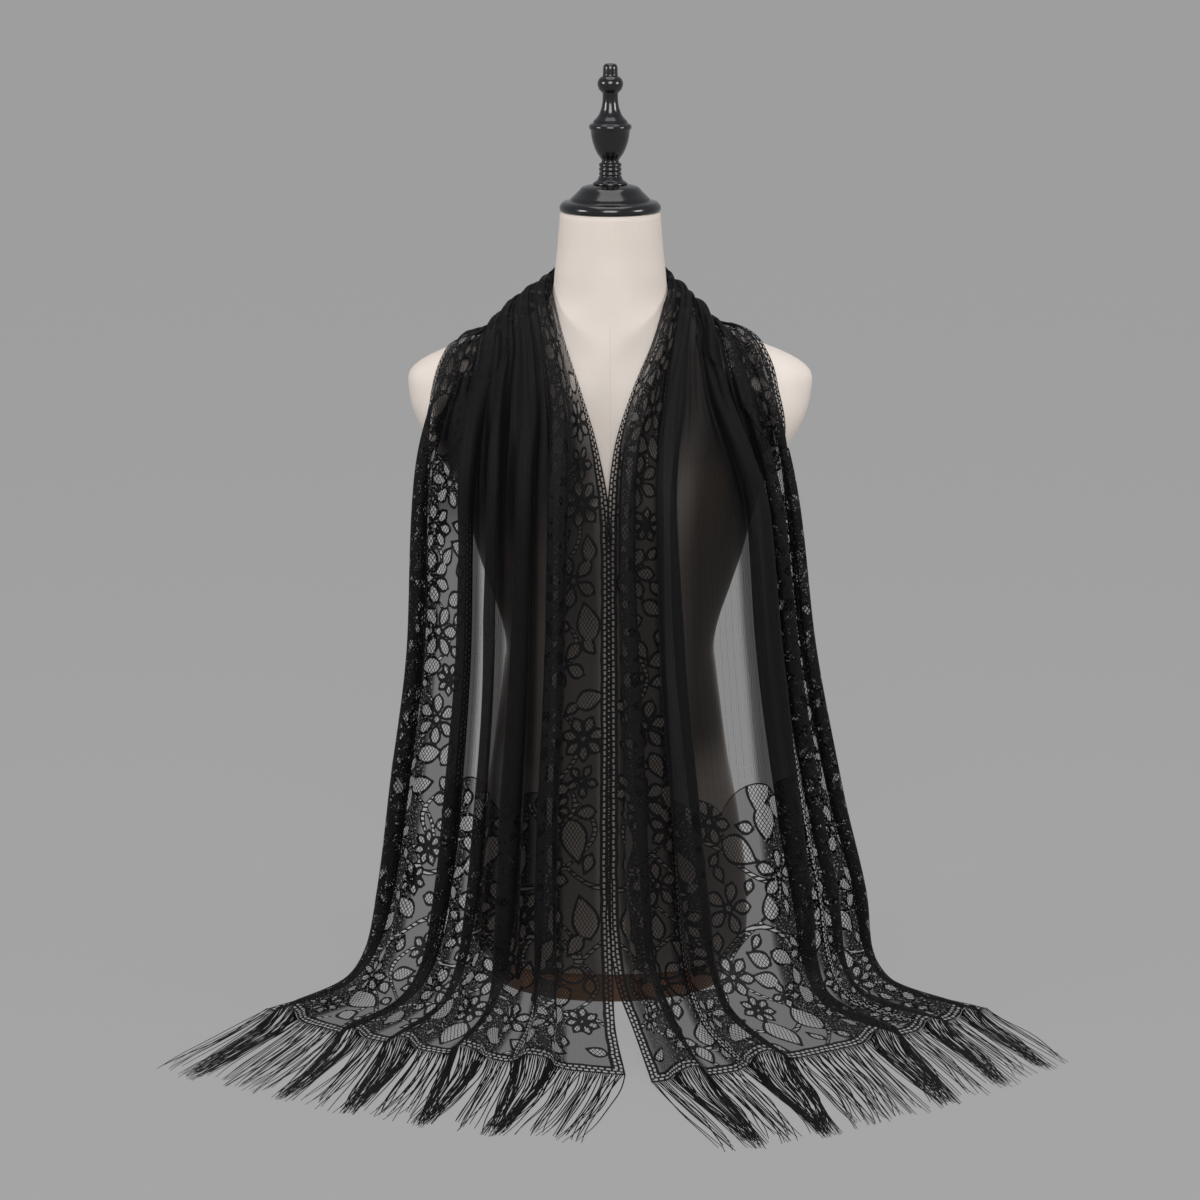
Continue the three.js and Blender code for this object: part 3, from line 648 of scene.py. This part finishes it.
def lace_material():
    t = Tree("lace")
    uv = t.node("ShaderNodeUVMap")
    uv.uv_map = "cloth"
    uneven = t.node("ShaderNodeTexNoise", Vector=uv.outputs["UV"], Scale=75.0, Detail=1.0)
    uneven.noise_dimensions = "2D"
    wander = t.vector("MULTIPLY_ADD", uneven.outputs["Color"], (WANDER, WANDER, 0), uv.outputs["UV"])
    split = t.node("ShaderNodeSeparateXYZ", Vector=t.vector("SUBTRACT", wander, (WANDER / 2, WANDER / 2, 0)))
    u, v = split.outputs["X"], split.outputs["Y"]
    motif, stem, lace = t.attribute("motif"), t.attribute("stem"), t.attribute("lace")

    def wave(value, pitch, shift=0.0):
        return t.math("COSINE", t.plus(t.times(value, 2 * math.pi / pitch), shift))

    def net_holes(wide, high, thin, thick):
        """1 in the cells of a slanting net and 0 on its threads."""
        p, q = t.times(u, math.pi / wide), t.times(v, math.pi / high)
        slants = [t.size(t.math("SINE", t.math(way, p, q))) for way in ("ADD", "SUBTRACT")]
        return t.ease(t.math("MINIMUM", *slants), thin, thick)

    def ladder_holes(across, along):
        """Two staggered rows of long holes in a border 10 mm wide."""
        rows = t.ease(wave(across, LADDER_ROW, -1.5 * math.pi), -0.35, 0.25)
        turn = t.times(t.math("GREATER_THAN", across, LADDER_WIDTH / 2), math.pi)
        return t.times(rows, t.ease(wave(along, LADDER_STEP, turn), -0.62, -0.2))

    edge = t.math("MINIMUM", u, t.minus(SHAWL_WIDTH, u))
    from_hem = t.minus(HALF_LENGTH, t.size(v))
    border = t.math("MINIMUM", edge, from_hem)
    in_lace = t.ease(lace, -0.0006, 0.0006)

    # The plain middle is ribbed and has dashes of dots. The ground of the lace is closer, with tiny holes
    ribs = t.times(wave(u, RIB_PITCH), RIB)
    dots = t.times(t.ease(wave(u, DOTS_ACROSS), 0.84, 0.95), t.ease(wave(v, DOTS_ALONG), 0.0, 0.5))
    stagger = t.times(wave(v, DASH_PITCH), t.math("SIGN", wave(u, 2 * DOTS_ACROSS, 0.5 * math.pi)))
    dots = t.times(dots, t.ease(stagger, 0.1, 0.4))
    plain = t.mix(dots, t.plus(PLAIN, ribs), DOT)
    ground = t.plus(GROUND, t.plus(ribs, t.times(net_holes(*GROUND_NET), GROUND_HOLE)))
    cloth = t.mix(in_lace, plain, ground)

    # Motifs are filled with open net, stems are chains of holes, and thick threads run round both
    net = t.mix(net_holes(*MOTIF_NET), THICK_THREAD, NET_HOLE)
    in_motif = t.times(t.ease(motif, -0.0002, 0.0002), in_lace)
    cloth = t.mix(in_motif, cloth, net)

    chain = t.mix(t.ease(wave(v, CHAIN_PITCH), -0.55, -0.1), CHAIN_LINK, CHAIN_HOLE)
    free = t.rest(in_motif)
    cloth = t.mix(t.times(t.times(t.ease(stem, 0.0019, 0.0015), in_lace), free), cloth, chain)
    stem_side = t.times(t.ease(t.size(t.minus(stem, 0.0023)), 0.0009, 0.0005), free)
    outline = t.ease(t.size(motif), 0.0016, 0.0010)
    lace_line = t.ease(t.size(lace), 0.0009, 0.0004)
    dark = t.times(t.math("MAXIMUM", outline, stem_side), in_lace)
    cloth = t.mix(t.math("MAXIMUM", dark, lace_line), cloth, THICK_THREAD)

    # A ladder of holes between two rails runs round the whole shawl
    near_edge = t.math("LESS_THAN", edge, from_hem)
    ladder = t.mix(ladder_holes(border, t.mix(near_edge, u, v)), THICK_THREAD, LADDER_HOLE)
    cloth = t.mix(t.ease(border, 0.0102, 0.0098), cloth, ladder)
    rails = t.math("MINIMUM", t.size(t.minus(border, BORDER)), border)
    cloth = t.mix(t.ease(rails, 0.0011, 0.0006), cloth, RAIL)

    # The same ladder runs between each band and the plain middle, down to the hem
    beside = t.size(t.minus(edge, BAND_WIDTH + LADDER_WIDTH / 2))
    in_ladder = t.ease(beside, LADDER_WIDTH / 2 + 0.0002, LADDER_WIDTH / 2 - 0.0002)
    in_ladder = t.times(in_ladder, t.math("GREATER_THAN", border, BORDER))
    ladder = t.mix(ladder_holes(t.minus(edge, BAND_WIDTH), v), THICK_THREAD, LADDER_HOLE)
    cloth = t.mix(in_ladder, cloth, ladder)
    rail = t.size(t.minus(beside, LADDER_WIDTH / 2))
    cloth = t.mix(t.ease(rail, 0.0013, 0.0008), cloth, RAIL)

    # Light that passes one layer has to pass the next ones too
    cloth = t.rest(t.math("POWER", t.rest(cloth), t.attribute("layers")))

    # Where lace is folded on itself, holes line up here and there and let through small specks of light
    speckle = t.node("ShaderNodeTexNoise", Vector=uv.outputs["UV"], Scale=420.0, Detail=2.0, Roughness=0.6)
    speckle.noise_dimensions = "2D"
    specks = t.times(t.ease(speckle.outputs["Fac"], 0.60, 0.68), t.ease(t.attribute("layers"), 1.8, 2.8))
    specks = t.times(t.times(specks, in_lace), t.ease(lace, 0.0, 0.004))
    cloth = t.mix(specks, cloth, SPECK)

    t.set(Base_Color=(0.0042, 0.0040, 0.0046, 1), Roughness=0.6, Alpha=cloth)
    t.set(Sheen_Weight=0.025, Sheen_Roughness=0.4, Sheen_Tint=(0.78, 0.78, 0.9, 1), Specular_IOR_Level=0.1)
    return t.material


LACE = lace_material()
print("lace nodes:", len(LACE.node_tree.nodes))


# %% Build the cloth as three stretches
def store(mesh, key, values, kind="FLOAT"):
    """Keeps one value a point on the mesh, for a material or a node tree to read."""
    layer = mesh.attributes.new(key, kind, "POINT")
    layer.data.foreach_set("value", values.reshape(-1).astype(np.int32 if kind == "INT" else np.float32))


def grid_object(name, points, u, v, layers, material):
    """A sheet through a grid of points, with its cloth coordinates and the lace distances stored on it."""
    rows, columns = points.shape[:2]
    index = np.arange(rows * columns).reshape(rows, columns)
    faces = np.stack([index[:-1, :-1], index[1:, :-1], index[1:, 1:], index[:-1, 1:]], -1).reshape(-1, 4)
    mesh = bpy.data.meshes.new(name)
    mesh.from_pydata(points.reshape(-1, 3).tolist(), [], faces.tolist())
    uv = mesh.uv_layers.new(name="cloth")
    corners = faces.reshape(-1)
    flat = np.stack([u.reshape(-1)[corners], v.reshape(-1)[corners]], -1)
    uv.data.foreach_set("uv", flat.reshape(-1).astype(np.float32))
    for key, measure in (("motif", motif_distance), ("stem", stem_distance), ("lace", lace_share)):
        store(mesh, key, measure(u, v))
    store(mesh, "layers", layers)
    mesh.materials.append(material)
    mesh.shade_smooth()
    return placed(name, mesh)


def cloth_normals(points):
    """Unit normals of a grid of points."""
    normal = np.cross(np.gradient(points, axis=1), np.gradient(points, axis=0))
    return normal / np.maximum(np.linalg.norm(normal, axis=-1, keepdims=True), 1e-9)


def stretch(side, start, end):
    """Points, u and v of one stretch of a side, from one place along the shawl to another."""
    count = max(int((end - start) * HALF_LENGTH / CLOTH_STEP), 2)
    places = np.linspace(start, end, count)
    cloth = np.linspace(0, SHAWL_WIDTH, int(SHAWL_WIDTH / CLOTH_STEP) + 1)
    points = cloth_grid(side, places, cloth)
    lift = crease_height(side, places, cloth) + gather_height(side, places, cloth)
    points = clear_of_form(points + cloth_normals(points) * (-side * lift)[..., None], LEAST_CLEARANCE)
    points[..., 2] = np.maximum(points[..., 2], 0.0006)
    u, v = np.meshgrid(cloth, places * HALF_LENGTH * side)
    return points, u, v, layer_count(side, places, cloth)


left = grid_object("shawl_left_fall", *stretch(-1, NAPE_REACH, 1), LACE)
right = grid_object("shawl_right_fall", *stretch(1, NAPE_REACH, 1), LACE)
halves = [stretch(side, 0, NAPE_REACH) for side in (-1, 1)]
joined = [np.concatenate([halves[0][k][:0:-1], halves[1][k]]) for k in range(4)]
nape = grid_object("shawl_nape", *joined, LACE)
for piece, node in ((left, "shawl_left_fall"), (right, "shawl_right_fall"), (nape, "shawl_nape")):
    piece.name = node + "_cloth"
    stand_in(piece, node)

# %% [markdown]
# A fringe like this is made after the knitting: bundles of thread are drawn through the hem and left to
# hang. On the table they lie in loose, slightly curved wisps. Because the threads repeat, a node tree
# places them: it takes points along the hem, picks one of a few thread shapes for each, and turns and
# stretches it by values stored on the points.

# %% Thread shapes for the fringe
THREADS = 340
THREAD_SHAPES = 9
THREAD_STEPS, THREAD_SIDES = 12, 4
THREAD_HALF_WIDTH, THREAD_HALF_HEIGHT = 0.003, 0.02
THREAD_REST = 0.0007
LEFT_TIPS = ((0, -38, 159), (0.5, -36, 168), (1, -86, 160))
RIGHT_TIPS = ((0, 58, 162), (0.5, 44, 170), (1, 62, 140))
TIP_COLUMNS = ("at", "sideways", "forwards")


def thread_mesh(name, seed):
    """One thread of unit length along +X that settles from height 1 to 0, with its own slight curve."""
    rng = np.random.default_rng(seed)
    share = np.linspace(0, 1, THREAD_STEPS)
    bend = rng.uniform(-0.03, 0.03) * np.sin(np.pi * share)
    bend += rng.uniform(-0.009, 0.009) * np.sin(3 * np.pi * share)
    bend += rng.uniform(-0.03, 0.03) * share**3
    drop = (1 - np.clip(share / 0.3, 0, 1)) ** 2
    vertices, faces = [], []
    for r in range(THREAD_STEPS):
        thin = 1 - 0.5 * share[r] ** 4
        for s in range(THREAD_SIDES):
            angle = 2 * math.pi * s / THREAD_SIDES
            wide = math.cos(angle) * THREAD_HALF_WIDTH * thin
            high = math.sin(angle) * THREAD_HALF_HEIGHT * thin
            vertices.append((share[r], bend[r] + wide, drop[r] + high))
            if r:
                here = (r - 1) * THREAD_SIDES + s
                beside = (r - 1) * THREAD_SIDES + (s + 1) % THREAD_SIDES
                faces.append((here, beside, beside + THREAD_SIDES, here + THREAD_SIDES))
    mesh = bpy.data.meshes.new(name)
    mesh.from_pydata(vertices, [], faces)
    return mesh


def thread_material():
    t = Tree("thread")
    t.set(Base_Color=(0.004, 0.0038, 0.0044, 1), Roughness=0.65, Sheen_Weight=0.01, Specular_IOR_Level=0.1)
    return t.material


THREAD = thread_material()
print("thread steps:", THREAD_STEPS)


# %% Lay the fringe along each hem
def fringe_object(name, side, tips, seed):
    """Threads from the hem of one side: dense locks under the folds and thin wisps under the flats."""
    rng = np.random.default_rng(seed)
    cloth = (np.arange(THREADS) + 0.5) / THREADS * SHAWL_WIDTH
    hem = cloth_grid(side, np.array([0.985, 1.0]), cloth)
    down = hem[1] - hem[0]
    roots = hem[1] + down * [[1, 1, 0]] / np.linalg.norm(down, axis=1)[:, None] * 0.001
    share = np.linspace(0, 1, THREADS)
    reach = np.stack([column(tips, TIP_COLUMNS, key, share) for key in TIP_COLUMNS[1:]], -1) * MM * [1, -1]
    tip = roots[:, :2] + reach
    wisp = len(LEFT_FOLDS) + np.floor(np.cumsum(rng.uniform(0.28, 0.5, THREADS)))
    for k, (middle, taken, _) in enumerate(side_folds(np.ones(1), side)[0] * MM):
        wisp[np.abs(cloth - middle) < 0.43 * taken] = k
    for k in np.unique(wisp):
        members = wisp == k
        pull = rng.uniform(0.55, 0.93, (members.sum(), 1))
        tip[members] = tip[members] * (1 - pull) + tip[members].mean(0) * pull
    tip += rng.normal(0, 0.0016, tip.shape)
    run = tip - roots[:, :2]
    length = np.linalg.norm(run, axis=1) * rng.uniform(0.88, 1.03, THREADS)
    bundle = bpy.data.meshes.new(name)
    bundle.from_pydata([(x, y, THREAD_REST) for x, y in roots[:, :2].tolist()], [], [])
    bundle.materials.append(THREAD)
    store(bundle, "turn", np.arctan2(run[:, 1], run[:, 0]))
    store(bundle, "length", length)
    store(bundle, "rise", np.maximum(roots[:, 2], 0.001))
    store(bundle, "shape", rng.integers(0, THREAD_SHAPES, THREADS), "INT")
    return placed(name, bundle)


def fringe_tree():
    """Places the thread shapes on the points. Inputs: the shapes' collection, the width and the material."""
    tree = bpy.data.node_groups.new("fringe", "GeometryNodeTree")
    kinds = {"Geometry": "Geometry", "Shapes": "Collection", "Thread width": "Float", "Material": "Material"}
    for name, kind in kinds.items():
        tree.interface.new_socket(name, in_out="INPUT", socket_type="NodeSocket" + kind)
    tree.interface.new_socket("Geometry", in_out="OUTPUT", socket_type="NodeSocketGeometry")
    new = Nodes(tree).node
    start = new("NodeGroupInput").outputs

    def stored(name, kind="FLOAT"):
        read = new("GeometryNodeInputNamedAttribute", Name=name)
        read.data_type = kind
        return read.outputs["Attribute"]

    apart = {"Separate_Children": True, "Reset_Children": True}
    info = new("GeometryNodeCollectionInfo", Collection=start["Shapes"], **apart)
    turn = new("ShaderNodeCombineXYZ", Z=stored("turn"))
    size = new("ShaderNodeCombineXYZ", X=stored("length"), Y=start["Thread width"], Z=stored("rise"))
    place = new(
        "GeometryNodeInstanceOnPoints", Points=start["Geometry"], Instance=info.outputs["Instances"],
        Pick_Instance=True, Instance_Index=stored("shape", "INT"),
        Rotation=turn.outputs["Vector"], Scale=size.outputs["Vector"],
    )
    real = new("GeometryNodeRealizeInstances", Geometry=place.outputs["Instances"])
    paint = new("GeometryNodeSetMaterial", Geometry=real.outputs["Geometry"], Material=start["Material"])
    new("NodeGroupOutput", Geometry=paint.outputs["Geometry"])
    return tree


def realised(source, tree, values):
    """The object's evaluated mesh as a plain object of its own; the source is removed."""
    modifier = source.modifiers.new("fringe", "NODES")
    modifier.node_group = tree
    for item in tree.interface.items_tree:
        if item.item_type == "SOCKET" and item.in_out == "INPUT" and item.name in values:
            modifier[item.identifier] = values[item.name]
    graph = bpy.context.evaluated_depsgraph_get()
    mesh = bpy.data.meshes.new_from_object(source.evaluated_get(graph))
    name = source.name
    bpy.data.objects.remove(source)
    return placed(name, mesh)


shapes = bpy.data.collections.new("thread shapes")
for k in range(THREAD_SHAPES):
    shapes.objects.link(bpy.data.objects.new(f"thread_{k}", thread_mesh(f"thread_{k}", 40 + k)))
tree = fringe_tree()
FRINGES = {}
for name, side, tips, seed in (("fringe_left", -1, LEFT_TIPS, 7), ("fringe_right", 1, RIGHT_TIPS, 11)):
    source = fringe_object(name + "_threads", side, tips, seed)
    values = {"Shapes": shapes, "Thread width": 0.2, "Material": THREAD}
    FRINGES[name] = realised(source, tree, values)
    stand_in(FRINGES[name], name)
    print(name, len(FRINGES[name].data.polygons) * 2, "triangles")
for item in list(shapes.objects):
    bpy.data.objects.remove(item)
bpy.data.collections.remove(shapes)

# %% [markdown]
# The dress form is a shell covered in linen. The cover is sewn from panels, so a seam runs down its front,
# and the weave shows as fine crossing threads. The weave is too fine for geometry, so it is a bump. The
# sections come from the table above, taken closely enough to look smooth. Under the black cloth hardly any
# light reaches the linen, so a value stored on the skin says where the shawl hangs over it, and there the
# linen's colour is darkened as painted shade, a little less under the lace bands.

# %% Dress form
FORM_RINGS, FORM_SIDES = 150, 128
TORSO_BOTTOM, TORSO_TOP = 30.3, 759.0


def loft_object(name, rings, material):
    """A closed skin through rings of points, with both ends capped."""
    count, sides = rings.shape[:2]
    index = np.arange(count * sides).reshape(count, sides)
    following = np.roll(index, -1, axis=1)
    faces = np.stack([index[:-1], following[:-1], following[1:], index[1:]], -1).reshape(-1, 4).tolist()
    faces.append(index[0, ::-1].tolist())
    faces.append(index[-1].tolist())
    mesh = bpy.data.meshes.new(name)
    mesh.from_pydata(rings.reshape(-1, 3).tolist(), [], faces)
    mesh.materials.append(material)
    mesh.shade_smooth()
    return placed(name, mesh)


# Painted shade on the linen under the shawl: how much lighter it is painted under the lace bands, and where
# it fades out.
LACE_LIGHT = 0.21
BAND_FADE, PANEL_FADE = (62, 88), (220, 280)
EDGE_FADE, OUTER_FADE, NECK_FADE = (3, 16), 12, (640, 690)
SIDE_FADE = (-0.030, 0.020)
WEAVE_PITCH = 0.0016
SEAM_HALF, SEAM_TOP = (0.0009, 0.0003), 0.655
LINEN_COLOURS = ((0.64, 0.56, 0.50, 1), (0.71, 0.64, 0.585, 1))
SEAM_COLOUR = (0.25, 0.2, 0.17, 1)
# The colour that the linen is darkened to as painted shade where the shawl hangs over it.
PAINTED_SHADE_COLOUR = (0.037, 0.027, 0.020, 1)


def painted_shade_share(points):
    """How much painted shade darkens the linen: 1 where the shawl hangs over the form's front, 0 where the
    form is bare.
    """
    height = points[..., 2] / MM + 12
    covered = np.zeros(height.shape)
    for side, rows in ((-1, LEFT_ROWS), (1, RIGHT_ROWS)):
        table = np.array([row for row in rows if row[0] > 0.14], float)[::-1]
        inner = np.interp(height, table[:, 3], table[:, 1]) * side
        outer = np.interp(height, table[:, 9], table[:, 7]) * side
        across = points[..., 0] / MM * side
        lace = 1 - np.minimum(soft_step(across - inner, *BAND_FADE), soft_step(height, *PANEL_FADE))
        edges = soft_step(across - inner, *EDGE_FADE) * (1 - soft_step(across, outer - OUTER_FADE, outer))
        covered = np.maximum(covered, edges * (1 - LACE_LIGHT * lace))
    return covered * (1 - soft_step(points[..., 1], *SIDE_FADE)) * (1 - soft_step(height, *NECK_FADE))


def linen_material():
    t = Tree("linen")
    place = t.node("ShaderNodeTexCoord").outputs["Object"]
    split = t.node("ShaderNodeSeparateXYZ", Vector=place)
    x, y, z = (split.outputs[key] for key in "XYZ")
    weave = [t.times(t.math("SINE", t.times(value, 2 * math.pi / WEAVE_PITCH)), 0.5) for value in (x, z)]
    slub = t.node("ShaderNodeTexNoise", Vector=place, Scale=260.0, Detail=4.0)
    height = t.plus(t.plus(*weave), slub.outputs["Fac"])
    bump = t.node("ShaderNodeBump", Strength=0.2, Distance=0.0004, Height=height)
    stain = t.node("ShaderNodeTexNoise", Vector=place, Scale=9.0, Detail=3.0)
    seam = t.times(t.ease(t.size(x), *SEAM_HALF), t.math("LESS_THAN", y, 0.0))
    seam = t.times(seam, t.math("LESS_THAN", z, SEAM_TOP))
    linen = t.mix(t.ease(stain.outputs["Fac"], 0.3, 0.7), *LINEN_COLOURS, colours=True)
    linen = t.mix(t.times(seam, 0.11), linen, SEAM_COLOUR, colours=True)
    # Painted shade: the linen's colour is darkened where the shawl hangs over it, in place of the cloth's
    # shadow.
    linen = t.mix(t.attribute("cover"), linen, PAINTED_SHADE_COLOUR, colours=True)
    t.set(Base_Color=linen, Roughness=0.85, Normal=bump.outputs["Normal"], Sheen_Weight=0.04)
    return t.material


heights = np.linspace(TORSO_BOTTOM, TORSO_TOP, FORM_RINGS)
half, front, back, square = (
    column(FORM_ROWS, FORM_COLUMNS, key, heights)[:, None] for key in FORM_COLUMNS[1:]
)
angle = np.linspace(0, 2 * np.pi, FORM_SIDES, endpoint=False)[None, :]
cosine, sine = np.cos(angle), np.sin(angle)
ring_x = half * np.sign(cosine) * np.abs(cosine) ** (2 / square)
ring_y = np.where(sine < 0, front, back) * np.sign(sine) * np.abs(sine) ** (2 / square)
rings = np.stack([ring_x, ring_y, np.repeat(heights[:, None], FORM_SIDES, 1)], -1) * MM
torso = loft_object("dress_form", rings, linen_material())
# The share of painted shade is stored on the skin for the linen material.
store(torso.data, "cover", painted_shade_share(rings))
stand_in(torso, "form_torso")
print("form:", len(torso.data.polygons), "faces")

# %% [markdown]
# The neck cap and the finial are turned on a lathe and lacquered black. A turner cuts beads, coves and
# fillets with sharp little steps between them, so the outline keeps those steps, and the rest is eased.
# Black lacquer looks black only where nothing bright stands in it, so it is smooth with a clear coat and
# picks up the lamps as small highlights. The base is an oval board of stained wood with its edges rounded
# over. Its colour is partly the stain and partly painted shade, kept dark as if in the cloth's shadow. Its
# grain is a noise that is stretched along the board.

# %% Turned pieces
CAP_OUTLINE = (
    (46, 0), (47.6, 0.8), (48.2, 3), (48, 5.4), (46.4, 7.6), (44.6, 9.2), (40, 10), (38, 10.4), (37.8, 12),
    (35.6, 14), (32.5, 17), (29.6, 20), (27.2, 22.7), (25.8, 23.4), (22, 24.6), (18.4, 25.4),
)
FINIAL_OUTLINE = (
    (16.2, 25.7), (16.6, 26.6), (14.6, 28.2), (12.6, 29.4), (11.4, 31.4), (10.9, 33.2), (9.8, 33.7),
    (10.5, 34.4), (10.8, 35.6), (10.5, 36.9), (9.5, 37.7), (10.5, 38.5), (10.8, 39.8), (10.5, 41.1),
    (9.5, 41.9), (10.5, 42.7), (10.8, 44), (10.3, 45.4), (8.6, 46.4), (8, 48), (8.8, 49.6), (11, 52.6),
    (12.9, 55.4), (15, 60), (16.9, 65.7), (18, 71), (18.8, 77), (19.9, 78), (20.2, 79.6), (19.8, 81.4),
    (18.4, 82.4), (16.4, 83.2), (16.2, 85), (14.2, 87), (12, 89.4), (10.6, 91.6), (9.5, 94.4),
    (8.2, 98.4), (7.5, 103), (7.2, 108), (7.4, 111.4), (9, 112.8), (10.8, 114.8), (11.9, 117.8),
    (12.2, 120), (11.9, 122), (10.8, 124.4), (9, 126.2), (7.2, 127), (7, 129), (6.9, 134), (6.6, 136.4),
    (5.6, 138), (4, 138.8),
)
NECK_TOP = 759.3
TURNED_SIDES = 96


def turned_object(name, outline, base, material, squash=1.0):
    """A turned solid from (radius, height) pairs in millimetres. squash narrows it from front to back."""
    outline = np.array(outline, float)
    angle = np.linspace(0, 2 * np.pi, TURNED_SIDES, endpoint=False)
    radius, rise = outline[:, :1], outline[:, 1:]
    rings = np.stack(
        [radius * np.cos(angle), radius * np.sin(angle) * squash, np.repeat(rise + base, TURNED_SIDES, 1)], -1
    )
    return loft_object(name, rings * MM, material)


def lacquer_material():
    t = Tree("lacquer")
    place = t.node("ShaderNodeTexCoord").outputs["Object"]
    brushed = t.node("ShaderNodeTexNoise", Vector=place, Scale=60.0, Detail=3.0)
    rough = t.plus(0.12, t.times(brushed.outputs["Fac"], 0.14))
    t.set(Base_Color=(0.004, 0.004, 0.005, 1), Roughness=rough, Coat_Weight=0.3, Coat_Roughness=0.08)
    return t.material


def wood_material():
    t = Tree("wood")
    place = t.node("ShaderNodeTexCoord").outputs["Object"]
    long = t.node("ShaderNodeMapping", Vector=place, Scale=(4.0, 30.0, 60.0))
    grain = t.node("ShaderNodeTexNoise", Vector=long.outputs["Vector"], Scale=6.0, Detail=5.0)
    # The wood's colour is partly its stain and partly painted shade, kept dark as if in the shadow of the
    # cloth above.
    colour = t.mix(grain.outputs["Fac"], (0.085, 0.036, 0.012, 1), (0.17, 0.078, 0.028, 1), colours=True)
    t.set(Base_Color=colour, Roughness=0.42)
    return t.material


LACQUER = lacquer_material()
cap = turned_object("neck_cap_turned", CAP_OUTLINE, NECK_TOP, LACQUER)
finial = turned_object("finial_turned", FINIAL_OUTLINE, NECK_TOP, LACQUER)
BASE_OUTLINE = ((109, 0), (111.4, 0.8), (112, 2.6), (112, 25), (111, 28), (108.6, 29.6), (106, 30))
base = turned_object("base_turned", BASE_OUTLINE, 0, wood_material(), squash=0.74)
stand_in(cap, "neck_cap")
stand_in(finial, "finial")
stand_in(base, "form_base")
print("turned pieces:", cap.name, finial.name, base.name)

# %% [markdown]
# The shaped cloth of the shawl comes out a sixth to a quarter smaller in area than the flat size it was
# knitted to, in part because its finest gathers aren't shaped.

# %% [markdown]
# The object stands on a plain grey surface in a bright, even studio light. A wide soft lamp on each side
# gives the small highlights on the lacquer, and a large one overhead keeps the shadows soft. The camera
# looks slightly down through a long lens, which keeps the form's proportions true.

# %% Floor, light and camera
def plane(name, size, place, material):
    mesh = bpy.data.meshes.new(name)
    half = size / 2
    corners = [(-half, -half, 0), (half, -half, 0), (half, half, 0), (-half, half, 0)]
    mesh.from_pydata(corners, [], [(0, 1, 2, 3)])
    mesh.materials.append(material)
    made = placed(name, mesh)
    made.location = place


def lamp(name, place, aim, size, power):
    data = bpy.data.lights.new(name, "AREA")
    data.size, data.energy = size, power
    made = placed(name, data)
    made.location = place
    from_lamp = Vector(aim) - Vector(place)
    made.rotation_euler = from_lamp.to_track_quat("-Z", "Y").to_euler()


paper = Tree("paper")
paper.set(Base_Color=(0.045, 0.045, 0.046, 1), Roughness=0.95, Specular_IOR_Level=0.0)
paper.set(Emission_Color=(0.995, 0.995, 1.0, 1), Emission_Strength=0.328)
plane("floor", 80, (0, 0, -0.0002), paper.material)
lamp("left_lamp", (-2.2, -0.9, 1.5), (0, 0, 0.5), 0.8, 22)
lamp("right_lamp", (2.2, -0.9, 1.5), (0, 0, 0.5), 0.8, 22)
lamp("front_lamp", (0, -2.9, 2.2), (0, 0, 0.5), 1.6, 57)
lamp("top_lamp", (0, 0.1, 2.6), (0, 0, 0.3), 1.4, 12)

world = bpy.data.worlds.new("studio")
world.use_nodes = True
world.node_tree.nodes["Background"].inputs["Color"].default_value = (0.95, 0.97, 1.0, 1)
world.node_tree.nodes["Background"].inputs["Strength"].default_value = 0.34
bpy.context.scene.world = world

camera_data = bpy.data.cameras.new("camera")
camera_data.lens, camera_data.sensor_width = 106, 36
camera = placed("camera", camera_data)
camera.location = (-0.0097, -3.346, 1.133)
camera.rotation_euler = (math.radians(90 - 12.65), 0, 0)
bpy.context.scene.camera = camera
bpy.context.scene.view_settings.view_transform = "Standard"
bpy.context.scene.cycles.transparent_max_bounces = 48
print("camera at", tuple(camera.location))
